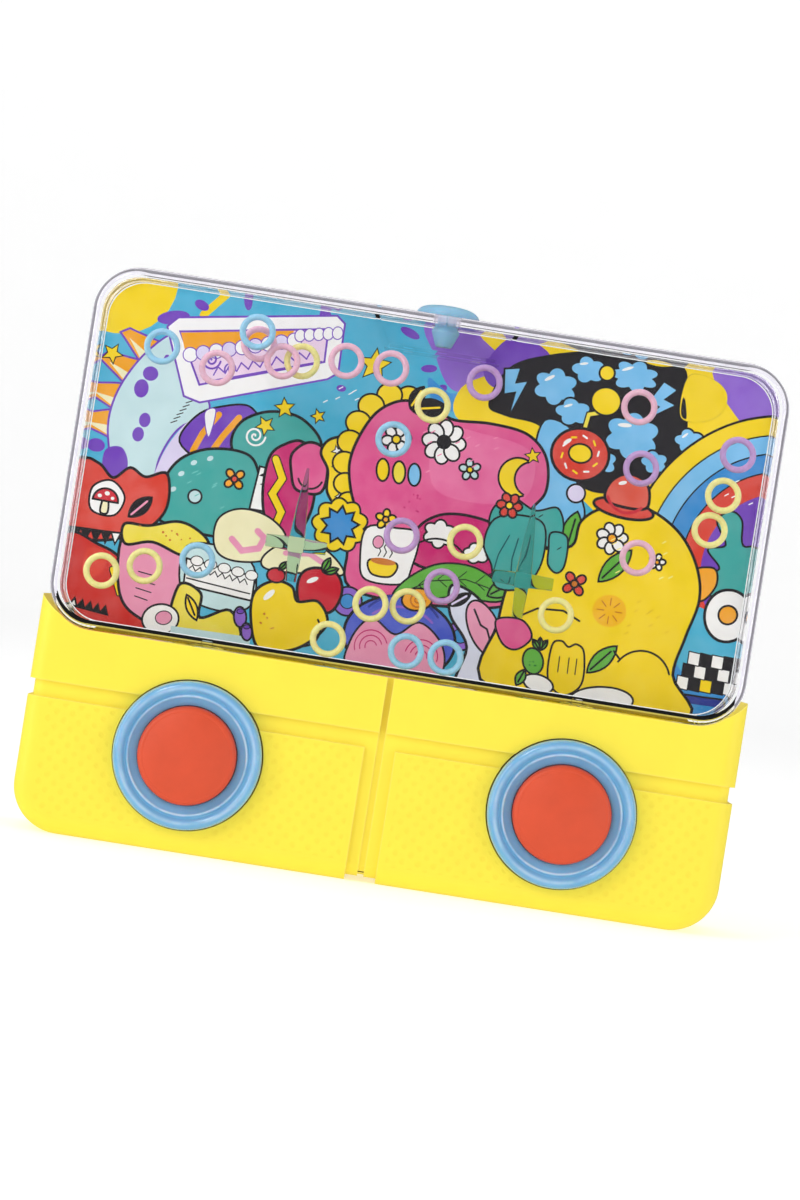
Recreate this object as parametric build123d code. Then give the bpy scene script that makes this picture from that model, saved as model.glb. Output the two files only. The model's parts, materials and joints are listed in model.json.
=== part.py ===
from build123d import *
import math
import os

# Handheld water ring-toss game, upright, in millimetres.
# +X is the player's right, +Y points away from the player, +Z is up.
# The origin is under the middle of the game: Z = 0 is the flat base, and the button domes and
# the rear cover stand equally far in front of and behind Y = 0.

# ---- housing: the yellow base that holds the two pumps ----
HOUSING_WIDTH = 145.0
HOUSING_TOP = 42.0
HORN_TOP = 48.0
HORN_RADIUS = 17.0
HORN_GAP = 0.15
FRONT_Y = -11.0
BACK_Y = 16.0
PARTING_Y = 4.0
WALL = 2.0
CORNER_RADIUS = 9.8
FRONT_ROUNDING = 3.6
BACK_ROUNDING = 2.4
ROUNDED_BAR_HEIGHT = 60.0
GROOVE_LOW = 27.3
GROOVE_HIGH = 30.7
GROOVE_DEPTH = 1.05
BAND_WIDTH = 6.3
SEAM_WIDTH = 1.3
SEAM_DEPTH = 1.5
PARTING_GROOVE = 0.3
LIP_HEIGHT = 1.6
LIP_THICKNESS = 0.9
LIP_GAP = 0.1

# ---- screws that close the housing, as (x, z) ----
SCREW_PLACES = [(-64.5, 9.0), (64.5, 9.0), (-64.5, 34.0), (64.5, 34.0), (-9.0, 20.0), (9.0, 20.0)]
BOSS_RADIUS = 4.0
SCREW_SHANK_RADIUS = 1.3
SCREW_PILOT_RADIUS = 1.33
SCREW_CLEARANCE_RADIUS = 1.55
SCREW_HEAD_RADIUS = 2.6
SCREW_HEAD_HEIGHT = 1.9
SCREW_SINK_RADIUS = 3.0
SCREW_SEAT_Y = 9.0
SCREW_TIP_Y = -3.5
SCREW_RECESS = (2.6, 0.6, 1.0)

# ---- pump buttons and their bezels ----
BUTTON_X = 38.25
BUTTON_Z = 20.1
BUTTON_RADIUS = 10.0
BUTTON_DOME_Y = -16.0
BUTTON_SHOULDER_Y = -14.4
BUTTON_DOME_FALL = 0.24
BUTTON_SHELL = 1.6
BUTTON_SHOULDER_RADIUS = 1.2
BUTTON_FLANGE_RADIUS = 11.6
BUTTON_FLANGE = 1.2
BUTTON_STEM_RADIUS = 3.5
BUTTON_STEM_END_Y = -5.0
BEZEL_RADIUS = 15.1
BEZEL_BORE_RADIUS = 10.08
BEZEL_FLANGE_RADIUS = 17.0
BEZEL_FLANGE = 1.5
BEZEL_HOLE_RADIUS = 15.35
RUNNING_GAP = 0.05

# ---- the bezel's section, as (radius, height in front of the housing) ----
BEZEL_RIM_HEIGHT = 1.2
BEZEL_CREST = (13.75, 2.6)
BEZEL_VALLEY_OUT = (12.35, 1.3)
BEZEL_VALLEY_IN = (12.15, 1.2)
BEZEL_BEAD_TOP = (11.5, 1.8)
BEZEL_BEAD_IN = (10.85, 1.3)
BEZEL_MOUTH_HEIGHT = 0.6

# ---- pumps: a rubber bellows on a rigid chamber with a duct up to the tank ----
BELLOWS_FRONT_Y = BUTTON_STEM_END_Y
BELLOWS_REAR_Y = 8.0
BELLOWS_OUTER = 10.4
BELLOWS_INNER = 8.4
BELLOWS_SKIN = 0.9
BELLOWS_FOLDS = 3
BELLOWS_RIM_RADIUS = 11.4
BELLOWS_RIM = 1.2
CHAMBER_RADIUS = 12.5
CHAMBER_BORE = 9.0
CHAMBER_FLOOR = 1.6
DUCT_HALF = 4.2
DUCT_BORE = 2.4
RISER_BORE = 2.0
RISER_LOW_Z = 30.9
DUCT_Z = 35.4
DUCT_REAR_Y = 10.2
DUCT_END = 1.2
DUCT_FRONT_Y = -1.5
SOCKET_RADIUS = 5.5
SOCKET_BORE = 4.1
SOCKET_LOW_Z = 32.4
SOCKET_FLOOR_Z = 37.5
SEAL_THICKNESS = 1.0
LOCATING_RING = 1.2

# ---- tank: a clear box with a clear back plate and a printed sheet behind it ----
TANK_WIDTH = 142.6
TANK_TOP = 116.2
TANK_FRONT_Y = -11.6
TANK_BACK_Y = 8.4
TANK_WALL = 2.0
TANK_CORNER = 9.5
TANK_FRONT_ROUNDING = 1.9
PLATE_FRONT_Y = 6.0
PLATE_THICKNESS = 1.6
PLATE_REBATE = 0.9
PLATE_GAP = 0.05
PRINT_THICKNESS = 0.3
PRINT_INSET = TANK_WALL + 0.1
SPIGOT_RADIUS = 3.95
SPIGOT_BORE = 2.1
SPIGOT_CLEARANCE = 0.3
JET_RADIUS = 1.2
TONGUE = (28.0, 2.4, 6.0)
TONGUE_Y = 0.0
TONGUE_CLEARANCE = 0.2

# ---- filler hole, its soft plug and the guard that keeps rings away from it ----
FILLER_Y = -1.5
FILLER_RADIUS = 2.95
PLUG_HEAD_RADIUS = 6.5
PLUG_HEAD_HEIGHT = 2.6
PLUG_HEAD_EDGE = 0.7
PLUG_CROWN = (0.75, 0.78)
PLUG_FLAT = 0.35
PLUG_NECK_RADIUS = 2.35
PLUG_BARB_RADIUS = 2.9
PLUG_BARB_Z = 113.2
PLUG_BARB_HEIGHT = 0.8
PLUG_TIP_RADIUS = 1.7
PLUG_TIP_Z = 110.0
GUARD_TOP_HALF = 15.0
GUARD_LOW_HALF = 11.8
GUARD_LOW_Z = 107.9
GUARD_WALL = 0.9
GUARD_ROOT = 0.5
GUARD_SLOT = (5.0, 1.8)
GUARD_SLOT_XS = [-7.0, 0.0, 7.0]

# ---- pegs that the rings land on ----
PEG_X = 23.5
PEG_Y = 0.5
PEG_HUB_Z = 65.8
PEG_ARM_HALF = 6.25
PEG_ARM_RADII = (1.55, 1.25)
PEG_SPIKE_RADII = (1.75, 1.1)
PEG_SPIKE_MID_Z = 74.0
PEG_TIP_Z = 81.5
PEG_TIP_RADIUS = 0.25
PEG_STUB_Z = 58.1
PEG_STUB_RADII = (1.5, 1.1)
PEG_HUB_RADIUS = 2.2
PEG_POST_RADIUS = 1.6
PEG_POST_HOLE = 1.62

# ---- loose rings: section and pitch radii, layers in depth, and (x, z, layer) of each ----
RING_PITCH_RADIUS = 3.05
RING_SECTION_RADIUS = 0.65
RING_LAYER_YS = [-8.7, -7.1, -5.5, -3.9]
RING_FLOOR_Z = 47.75
RING_PLACES = {
    "blue": [
        (-56.4, 101.1, 1), (-37.7, 107.0, 1), (-7.1, 89.8, 1),
        (-42.6, 59.4, 1), (2.1, RING_FLOOR_Z, 0), (10.2, RING_FLOOR_Z, 0),
    ],
    "pink": [
        (-44.8, 98.6, 2), (-37.2, 104.8, 3), (-31.9, 102.0, 2), (-19.0, 104.0, 1),
        (-9.8, 104.0, 2), (41.2, 104.0, 1), (45.5, 73.7, 0),
    ],
    "yellow": [
        (-28.0, 102.7, 3), (-0.3, 97.9, 2), (10.5, 71.5, 1), (-53.1, 56.6, 2),
        (-61.5, 54.3, 1), (-6.5, 56.1, 1), (1.0, 56.8, 2), (-13.9, RING_FLOOR_Z, 0),
        (31.1, 59.7, 2), (60.8, 88.9, 1), (59.3, 81.6, 2),
    ],
    "purple": [
        (9.4, 104.0, 1), (43.6, 91.8, 2), (62.6, 97.6, 2), (-2.4, 70.8, 2), (7.3, 61.9, 3),
    ],
}

HALF_WIDTH = HOUSING_WIDTH / 2
INNER_BACK_Y = BACK_Y - WALL
INNER_FRONT_Y = FRONT_Y + WALL
INNER_TOP = HOUSING_TOP - WALL
CHAMBER_FRONT_Y = TANK_FRONT_Y + TANK_WALL
CEILING = TANK_TOP - TANK_WALL
SIDES = {"left": -1, "right": 1}


def slab(face, y_low, y_high):
    """Extrudes a face drawn in X and Z so that it fills the stretch from y_low to y_high."""
    plane = Plane(origin=(0, y_high, 0), x_dir=(1, 0, 0), z_dir=(0, -1, 0))
    return extrude(plane * face, amount=y_high - y_low)


def rounded_box(half_width, z_low, z_high, radius, y_low, y_high):
    """A box with its four long edges, which run along Y, rounded."""
    face = Pos(0, (z_low + z_high) / 2) * RectangleRounded(2 * half_width, z_high - z_low, radius)
    return slab(face, y_low, y_high)


def rod_y(radius, x, z, y_low, y_high):
    """A round bar along Y."""
    bar = Cylinder(radius, y_high - y_low)
    return Pos(x, (y_low + y_high) / 2, z) * Rot(90, 0, 0) * bar


def rod_z(radius, x, y, z_low, z_high):
    """A round bar along Z."""
    return Pos(x, y, (z_low + z_high) / 2) * Cylinder(radius, z_high - z_low)


def turned_about_y(points_face, x, z):
    """Revolves a face drawn as (radius, y) about the Y axis, then moves it to (x, z)."""
    return Pos(x, 0, z) * revolve(points_face, axis=Axis.Y)


def block(x_range, y_range, z_range):
    """A box given by its lowest and highest corners."""
    sizes = [high - low for low, high in (x_range, y_range, z_range)]
    middle = [(high + low) / 2 for low, high in (x_range, y_range, z_range)]
    return Pos(*middle) * Box(*sizes)


# ---- housing ----
def rounded_bar(inset, front_rounding, back_rounding):
    """The housing without its horns: a tall bar with every outer edge rounded."""
    bar = rounded_box(
        HALF_WIDTH - inset,
        inset,
        ROUNDED_BAR_HEIGHT,
        CORNER_RADIUS - inset,
        FRONT_Y + inset,
        BACK_Y - inset,
    )
    front_edges = bar.faces().sort_by(Axis.Y)[0].edges()
    bar = fillet(front_edges, front_rounding)
    back_edges = bar.faces().sort_by(Axis.Y)[-1].edges()
    return fillet(back_edges, back_rounding)


def horned_outline():
    """The housing's outline: flat base, upright sides and a concave sweep up to each horn."""
    rise = HORN_TOP - HOUSING_TOP
    reach = math.sqrt(HORN_RADIUS**2 - (HORN_RADIUS - rise) ** 2)
    start = HALF_WIDTH - reach
    half_turn = math.asin(reach / HORN_RADIUS) / 2
    middle = (
        start + HORN_RADIUS * math.sin(half_turn),
        HOUSING_TOP + HORN_RADIUS * (1 - math.cos(half_turn)),
    )
    lines = Polyline((-start, HOUSING_TOP), (start, HOUSING_TOP))
    lines += ThreePointArc((start, HOUSING_TOP), middle, (HALF_WIDTH, HORN_TOP))
    lines += Polyline(
        (HALF_WIDTH, HORN_TOP), (HALF_WIDTH, 0), (-HALF_WIDTH, 0), (-HALF_WIDTH, HORN_TOP)
    )
    lines += ThreePointArc(
        (-HALF_WIDTH, HORN_TOP), (-middle[0], middle[1]), (-start, HOUSING_TOP)
    )
    return make_face(lines)


def beyond(inset):
    """Everything more than a given depth outside the rounded bar's inset surface."""
    margin = 5.0
    everything = block(
        (-HALF_WIDTH - margin, HALF_WIDTH + margin),
        (FRONT_Y - margin, BACK_Y + margin),
        (-margin, HOUSING_TOP + margin),
    )
    inner = rounded_bar(inset, FRONT_ROUNDING - inset, BACK_ROUNDING - inset)
    return everything - inner


def housing_body():
    """The outside of both housing halves, with the grooves but still solid inside."""
    body = slab(horned_outline(), FRONT_Y, BACK_Y)
    body -= rounded_box(
        TANK_WIDTH / 2 + HORN_GAP,
        HOUSING_TOP,
        TANK_TOP,
        TANK_CORNER + HORN_GAP,
        FRONT_Y - 1,
        BACK_Y + 1,
    )
    body = body & rounded_bar(0.0, FRONT_ROUNDING, BACK_ROUNDING)
    tall = (-HALF_WIDTH - 1, HALF_WIDTH + 1)
    deep = (FRONT_Y - 1, BACK_Y + 1)
    groove = block(tall, deep, (GROOVE_LOW, GROOVE_HIGH)) & beyond(GROOVE_DEPTH)
    band = block((-BAND_WIDTH / 2, BAND_WIDTH / 2), deep, (-1, GROOVE_HIGH))
    body -= groove
    body -= band & beyond(GROOVE_DEPTH)
    seam = block((-SEAM_WIDTH / 2, SEAM_WIDTH / 2), (FRONT_Y - 1, PARTING_Y), (-1, HOUSING_TOP + 1))
    body -= seam & beyond(SEAM_DEPTH)
    half_line = PARTING_GROOVE / 2
    parting = block(tall, (PARTING_Y - half_line, PARTING_Y + half_line), (-1, HOUSING_TOP))
    body -= parting & beyond(PARTING_GROOVE)
    return body


def housing_hollow():
    """The space inside both housing halves."""
    return rounded_box(
        HALF_WIDTH - WALL, WALL, INNER_TOP, CORNER_RADIUS - WALL, INNER_FRONT_Y, INNER_BACK_Y
    )


def front_housing(body):
    shell = body & block(
        (-HALF_WIDTH - 1, HALF_WIDTH + 1), (FRONT_Y - 1, PARTING_Y), (-1, HORN_TOP + 1)
    )
    shell -= housing_hollow()
    for x, z in SCREW_PLACES:
        shell += rod_y(BOSS_RADIUS, x, z, INNER_FRONT_Y, PARTING_Y)
    for x, z in SCREW_PLACES:
        shell -= rod_y(SCREW_PILOT_RADIUS, x, z, SCREW_TIP_Y - 1, PARTING_Y + 1)
    spigot_hole = SPIGOT_RADIUS + SPIGOT_CLEARANCE
    for side in SIDES.values():
        shell -= rod_y(
            BEZEL_HOLE_RADIUS, side * BUTTON_X, BUTTON_Z, FRONT_Y - 1, INNER_FRONT_Y + 1
        )
        shell -= rod_z(spigot_hole, side * BUTTON_X, DUCT_FRONT_Y, INNER_TOP - 1, HOUSING_TOP + 1)
    width, thickness, _ = TONGUE
    slot = (width / 2 + TONGUE_CLEARANCE, thickness / 2 + TONGUE_CLEARANCE)
    shell -= block(
        (-slot[0], slot[0]), (TONGUE_Y - slot[1], TONGUE_Y + slot[1]), (INNER_TOP - 1, HOUSING_TOP + 1)
    )
    return shell


def closing_lip():
    """A thin wall inside the parting line that reaches forward into the front housing."""
    inset = WALL + LIP_GAP + LIP_THICKNESS
    reach = (PARTING_Y - LIP_HEIGHT, PARTING_Y + LIP_HEIGHT)
    lip = rounded_box(
        HALF_WIDTH - WALL - LIP_GAP,
        WALL + LIP_GAP,
        INNER_TOP - LIP_GAP,
        CORNER_RADIUS - WALL - LIP_GAP,
        *reach,
    )
    lip += rounded_box(
        HALF_WIDTH - WALL, WALL, INNER_TOP, CORNER_RADIUS - WALL, PARTING_Y, PARTING_Y + LIP_HEIGHT
    )
    lip -= rounded_box(
        HALF_WIDTH - inset, inset, HOUSING_TOP - inset, CORNER_RADIUS - inset, reach[0] - 1, reach[1] + 1
    )
    duct_side = BUTTON_X + SOCKET_RADIUS + DUCT_HALF
    lip -= block((-duct_side, duct_side), (reach[0] - 1, reach[1] + 1), (DUCT_Z, INNER_TOP + 1))
    return lip


def rear_housing(body):
    shell = body & block(
        (-HALF_WIDTH - 1, HALF_WIDTH + 1), (PARTING_Y, BACK_Y + 1), (-1, HORN_TOP + 1)
    )
    shell -= housing_hollow()
    shell += closing_lip()
    for x, z in SCREW_PLACES:
        shell -= rod_y(BOSS_RADIUS + LIP_GAP, x, z, PARTING_Y - LIP_HEIGHT - 1, PARTING_Y)
    for x, z in SCREW_PLACES:
        shell += rod_y(BOSS_RADIUS, x, z, PARTING_Y, INNER_BACK_Y)
    locator = CHAMBER_RADIUS + RUNNING_GAP
    riser_gap = DUCT_HALF + 2 * RUNNING_GAP
    for side in SIDES.values():
        x = side * BUTTON_X
        ring = rod_y(
            locator + LOCATING_RING, x, BUTTON_Z, INNER_BACK_Y - 2 * LOCATING_RING, INNER_BACK_Y
        )
        ring -= rod_y(locator, x, BUTTON_Z, PARTING_Y, INNER_BACK_Y)
        ring -= block(
            (x - riser_gap, x + riser_gap), (PARTING_Y, INNER_BACK_Y), (BUTTON_Z, HOUSING_TOP)
        )
        shell += ring
    for x, z in SCREW_PLACES:
        shell -= rod_y(SCREW_SINK_RADIUS, x, z, SCREW_SEAT_Y, BACK_Y + 1)
        shell -= rod_y(SCREW_CLEARANCE_RADIUS, x, z, PARTING_Y - 1, SCREW_SEAT_Y + 1)
    return shell


def housing_screws():
    screws = []
    length, width, depth = SCREW_RECESS
    for x, z in SCREW_PLACES:
        head_y = SCREW_SEAT_Y + SCREW_HEAD_HEIGHT
        screw = rod_y(SCREW_HEAD_RADIUS, x, z, SCREW_SEAT_Y, head_y)
        screw = fillet(screw.edges().sort_by(Axis.Y)[-1], SCREW_HEAD_HEIGHT / 2)
        screw += rod_y(SCREW_SHANK_RADIUS, x, z, SCREW_TIP_Y, SCREW_SEAT_Y)
        for across in ((length, width), (width, length)):
            screw -= block(
                (x - across[0] / 2, x + across[0] / 2),
                (head_y - depth, head_y + 1),
                (z - across[1] / 2, z + across[1] / 2),
            )
        screws.append(screw)
    return Compound(children=[part_solid(screw) for screw in screws])


def part_solid(shape):
    """The one solid that a finished shape holds."""
    return shape.solids()[0]


# ---- buttons and bezels ----
def raised(point):
    """A (radius, height in front of the housing) pair as a (radius, y) point."""
    radius, height = point
    return (radius, FRONT_Y - height)


def bezel(side):
    """A glossy collar: a round outer rim, a thin bead inside it, and a slope into the bore."""
    flange_back = INNER_FRONT_Y + BEZEL_FLANGE
    rim_edge = raised((BEZEL_RADIUS, BEZEL_RIM_HEIGHT))
    mouth = raised((BEZEL_BORE_RADIUS, BEZEL_MOUTH_HEIGHT))
    outline = Polyline(
        mouth,
        (BEZEL_BORE_RADIUS, flange_back),
        (BEZEL_FLANGE_RADIUS, flange_back),
        (BEZEL_FLANGE_RADIUS, INNER_FRONT_Y),
        (BEZEL_RADIUS, INNER_FRONT_Y),
        rim_edge,
    )
    outline += ThreePointArc(rim_edge, raised(BEZEL_CREST), raised(BEZEL_VALLEY_OUT))
    outline += Line(raised(BEZEL_VALLEY_OUT), raised(BEZEL_VALLEY_IN))
    outline += ThreePointArc(raised(BEZEL_VALLEY_IN), raised(BEZEL_BEAD_TOP), raised(BEZEL_BEAD_IN))
    outline += Line(raised(BEZEL_BEAD_IN), mouth)
    return turned_about_y(make_face(outline), side * BUTTON_X, BUTTON_Z)


def button(side):
    """A domed cap on a skirt, with a flange that stops it behind the bezel and a push stem."""
    flange_front = INNER_FRONT_Y + BEZEL_FLANGE + RUNNING_GAP
    flange_back = flange_front + BUTTON_FLANGE
    shoulder = BUTTON_SHOULDER_RADIUS
    slant = math.sqrt(0.5)
    dome_height = BUTTON_SHOULDER_Y - BUTTON_DOME_Y
    roof_y = BUTTON_SHOULDER_Y + BUTTON_SHELL
    bore = BUTTON_RADIUS - BUTTON_SHELL
    outline = ThreePointArc(
        (0, BUTTON_DOME_Y),
        ((BUTTON_RADIUS - shoulder) / 2, BUTTON_DOME_Y + dome_height * BUTTON_DOME_FALL),
        (BUTTON_RADIUS - shoulder, BUTTON_SHOULDER_Y),
    )
    outline += ThreePointArc(
        (BUTTON_RADIUS - shoulder, BUTTON_SHOULDER_Y),
        (BUTTON_RADIUS - shoulder * (1 - slant), BUTTON_SHOULDER_Y + shoulder * (1 - slant)),
        (BUTTON_RADIUS, BUTTON_SHOULDER_Y + shoulder),
    )
    outline += Polyline(
        (BUTTON_RADIUS, BUTTON_SHOULDER_Y + shoulder),
        (BUTTON_RADIUS, flange_front),
        (BUTTON_FLANGE_RADIUS, flange_front),
        (BUTTON_FLANGE_RADIUS, flange_back),
        (bore, flange_back),
        (bore, roof_y),
        (BUTTON_STEM_RADIUS, roof_y),
        (BUTTON_STEM_RADIUS, BUTTON_STEM_END_Y),
        (0, BUTTON_STEM_END_Y),
        (0, BUTTON_DOME_Y),
    )
    return turned_about_y(make_face(outline), side * BUTTON_X, BUTTON_Z)


# ---- pumps ----
def pump_bellows(side):
    """A closed rubber concertina with a flat front and an open flanged back."""
    fold = (BELLOWS_REAR_Y - BELLOWS_FRONT_Y - BELLOWS_SKIN) / (2 * BELLOWS_FOLDS + 1)
    crest_y = [BELLOWS_FRONT_Y + BELLOWS_SKIN + fold * (i + 0.5) for i in range(2 * BELLOWS_FOLDS)]
    radii = [BELLOWS_OUTER if i % 2 == 0 else BELLOWS_INNER for i in range(2 * BELLOWS_FOLDS)]
    outside = [(0, BELLOWS_FRONT_Y), (BELLOWS_INNER, BELLOWS_FRONT_Y)]
    outside += [(r, y) for r, y in zip(radii, crest_y)]
    outside += [
        (BELLOWS_OUTER, BELLOWS_REAR_Y),
        (BELLOWS_RIM_RADIUS, BELLOWS_REAR_Y),
        (BELLOWS_RIM_RADIUS, BELLOWS_REAR_Y + BELLOWS_RIM),
        (BELLOWS_OUTER - BELLOWS_SKIN, BELLOWS_REAR_Y + BELLOWS_RIM),
    ]
    inside = [(r - BELLOWS_SKIN, y) for r, y in zip(radii, crest_y)]
    inside.reverse()
    inside.append((BELLOWS_INNER - BELLOWS_SKIN, BELLOWS_FRONT_Y + BELLOWS_SKIN))
    inside.append((0, BELLOWS_FRONT_Y + BELLOWS_SKIN))
    outline = Polyline(*outside, *inside, close=True)
    return turned_about_y(make_face(outline), side * BUTTON_X, BUTTON_Z)


def pump_chamber(side):
    """A rigid cup behind the bellows, with a square duct that rises and runs forward to the tank."""
    x = side * BUTTON_X
    wide = (x - DUCT_HALF, x + DUCT_HALF)
    duct_top = DUCT_Z + DUCT_HALF
    solid = rod_y(CHAMBER_RADIUS, x, BUTTON_Z, BELLOWS_REAR_Y, INNER_BACK_Y)
    solid += block(
        wide, (DUCT_REAR_Y - DUCT_HALF, INNER_BACK_Y - LIP_GAP), (RISER_LOW_Z, duct_top)
    )
    solid += block(wide, (DUCT_FRONT_Y, DUCT_REAR_Y), (DUCT_Z - DUCT_HALF, duct_top))
    solid += rod_z(SOCKET_RADIUS, x, DUCT_FRONT_Y, SOCKET_LOW_Z, INNER_TOP)
    solid -= rod_y(
        BELLOWS_RIM_RADIUS + RUNNING_GAP, x, BUTTON_Z, BELLOWS_REAR_Y - 1, BELLOWS_REAR_Y + BELLOWS_RIM
    )
    solid -= rod_y(CHAMBER_BORE, x, BUTTON_Z, BELLOWS_REAR_Y - 1, INNER_BACK_Y - CHAMBER_FLOOR)
    solid -= rod_z(RISER_BORE, x, DUCT_REAR_Y, BUTTON_Z, DUCT_Z)
    solid -= rod_y(
        DUCT_BORE, x, DUCT_Z, DUCT_FRONT_Y - SPIGOT_BORE - DUCT_END / 2, DUCT_REAR_Y + DUCT_END
    )
    solid -= rod_z(SPIGOT_BORE, x, DUCT_FRONT_Y, DUCT_Z, SOCKET_FLOOR_Z + 1)
    solid -= rod_z(SOCKET_BORE, x, DUCT_FRONT_Y, SOCKET_FLOOR_Z, INNER_TOP + 1)
    return solid


def duct_seal(side):
    """A flat rubber washer between the duct's socket and the tank's spigot."""
    x = side * BUTTON_X
    top = SOCKET_FLOOR_Z + SEAL_THICKNESS
    seal = rod_z(SOCKET_BORE - RUNNING_GAP, x, DUCT_FRONT_Y, SOCKET_FLOOR_Z, top)
    return seal - rod_z(SPIGOT_BORE, x, DUCT_FRONT_Y, SOCKET_FLOOR_Z - 1, top + 1)


# ---- tank ----
def tank_box(inset, y_low, y_high):
    """The tank's rounded outline, drawn in by a given amount, between two depths."""
    return rounded_box(
        TANK_WIDTH / 2 - inset, HOUSING_TOP + inset, TANK_TOP - inset, TANK_CORNER - inset, y_low, y_high
    )


def guard_face(inset):
    """The ring guard's funnel-shaped section, hanging from the ceiling."""
    return make_face(
        Polyline(
            (-GUARD_TOP_HALF + inset, CEILING + GUARD_ROOT),
            (GUARD_TOP_HALF - inset, CEILING + GUARD_ROOT),
            (GUARD_LOW_HALF - inset, GUARD_LOW_Z + inset),
            (-GUARD_LOW_HALF + inset, GUARD_LOW_Z + inset),
            close=True,
        )
    )


def tank_shell():
    shell = tank_box(0.0, TANK_FRONT_Y, TANK_BACK_Y)
    shell = fillet(shell.faces().sort_by(Axis.Y)[0].edges(), TANK_FRONT_ROUNDING)
    shell -= tank_box(TANK_WALL, CHAMBER_FRONT_Y, PLATE_FRONT_Y + 1)
    shell -= tank_box(TANK_WALL - PLATE_REBATE, PLATE_FRONT_Y, TANK_BACK_Y + 1)
    guard_back = PLATE_FRONT_Y - 2 * PLATE_GAP
    guard = slab(guard_face(0.0), CHAMBER_FRONT_Y - GUARD_ROOT, guard_back)
    guard -= slab(guard_face(GUARD_WALL), CHAMBER_FRONT_Y, PLATE_FRONT_Y + 1)
    slot_length, slot_width = GUARD_SLOT
    for x in GUARD_SLOT_XS:
        guard -= block(
            (x - slot_width / 2, x + slot_width / 2),
            (FILLER_Y - slot_length / 2, FILLER_Y + slot_length / 2),
            (GUARD_LOW_Z - 1, GUARD_LOW_Z + GUARD_WALL + 1),
        )
    ceiling_cut = block(
        (-GUARD_TOP_HALF, GUARD_TOP_HALF), (CHAMBER_FRONT_Y - 1, PLATE_FRONT_Y + 1), (CEILING, TANK_TOP)
    )
    shell += guard - ceiling_cut
    shell -= rod_z(FILLER_RADIUS, 0, FILLER_Y, CEILING - 1, TANK_TOP + 1)
    floor_top = HOUSING_TOP + TANK_WALL
    for side in SIDES.values():
        x = side * BUTTON_X
        shell += rod_z(
            SPIGOT_RADIUS, x, DUCT_FRONT_Y, SOCKET_FLOOR_Z + SEAL_THICKNESS, HOUSING_TOP + 1
        )
        shell -= rod_z(SPIGOT_BORE, x, DUCT_FRONT_Y, SOCKET_FLOOR_Z, HOUSING_TOP + 1)
        shell -= rod_z(JET_RADIUS, x, DUCT_FRONT_Y, HOUSING_TOP, floor_top + 1)
    width, thickness, height = TONGUE
    shell += block(
        (-width / 2, width / 2),
        (TONGUE_Y - thickness / 2, TONGUE_Y + thickness / 2),
        (HOUSING_TOP - height, HOUSING_TOP + 1),
    )
    return shell


def tank_back():
    """The clear plate that closes the tank, with a hole for each peg's post."""
    plate = tank_box(
        TANK_WALL - PLATE_REBATE + PLATE_GAP, PLATE_FRONT_Y, PLATE_FRONT_Y + PLATE_THICKNESS
    )
    for side in SIDES.values():
        plate -= rod_y(PEG_POST_HOLE, side * PEG_X, PEG_HUB_Z, PLATE_FRONT_Y - 1, TANK_BACK_Y)
    return plate


def backdrop_print():
    """The printed picture sheet behind the back plate."""
    sheet_y = PLATE_FRONT_Y + PLATE_THICKNESS
    return tank_box(PRINT_INSET, sheet_y, sheet_y + PRINT_THICKNESS)


def filler_plug():
    """A soft stopper: low domed head, thin neck, and a barb that tapers to a blunt tip."""
    head_top = TANK_TOP + PLUG_HEAD_HEIGHT
    head_edge = (PLUG_HEAD_RADIUS, TANK_TOP + PLUG_HEAD_EDGE)
    crown_reach, crown_rise = PLUG_CROWN
    crown = (PLUG_HEAD_RADIUS * crown_reach, TANK_TOP + PLUG_HEAD_HEIGHT * crown_rise)
    flat_edge = (PLUG_HEAD_RADIUS * PLUG_FLAT, head_top)
    outline = Polyline(
        (0, PLUG_TIP_Z),
        (PLUG_TIP_RADIUS, PLUG_TIP_Z),
        (PLUG_BARB_RADIUS, PLUG_BARB_Z),
        (PLUG_NECK_RADIUS, PLUG_BARB_Z + PLUG_BARB_HEIGHT),
        (PLUG_NECK_RADIUS, TANK_TOP),
        (PLUG_HEAD_RADIUS, TANK_TOP),
        head_edge,
    )
    outline += ThreePointArc(head_edge, crown, flat_edge)
    outline += Polyline(flat_edge, (0, head_top), (0, PLUG_TIP_Z))
    face = Plane.XZ * make_face(outline)
    return Pos(0, FILLER_Y, 0) * revolve(face, axis=Axis.Z)


def upright_cone(radius_low, radius_high, z_low, z_high):
    return Pos(0, 0, (z_low + z_high) / 2) * Cone(radius_low, radius_high, z_high - z_low)


def peg(side):
    """A clear cross with a long tapering spike, carried on a post from the back plate."""
    cross = Pos(0, 0, PEG_HUB_Z) * Sphere(PEG_HUB_RADIUS)
    spike_low, spike_mid = PEG_SPIKE_RADII
    cross += upright_cone(spike_low, spike_mid, PEG_HUB_Z, PEG_SPIKE_MID_Z)
    cross += upright_cone(spike_mid, PEG_TIP_RADIUS, PEG_SPIKE_MID_Z, PEG_TIP_Z)
    stub_high, stub_low = PEG_STUB_RADII
    cross += upright_cone(stub_low, stub_high, PEG_STUB_Z, PEG_HUB_Z)
    arm_in, arm_out = PEG_ARM_RADII
    for turn in (-90, 90):
        arm = Pos(0, 0, PEG_ARM_HALF / 2) * Cone(arm_in, arm_out, PEG_ARM_HALF)
        cross += Pos(0, 0, PEG_HUB_Z) * Rot(0, turn, 0) * arm
    cross = Pos(side * PEG_X, PEG_Y, 0) * cross
    post_end = PLATE_FRONT_Y + PLATE_THICKNESS
    return cross + rod_y(PEG_POST_RADIUS, side * PEG_X, PEG_HUB_Z, PEG_Y, post_end)


def ring(x, z, layer):
    """One loose ring, face on to the player."""
    hoop = Torus(RING_PITCH_RADIUS, RING_SECTION_RADIUS)
    return Pos(x, RING_LAYER_YS[layer], z) * Rot(90, 0, 0) * hoop


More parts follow.
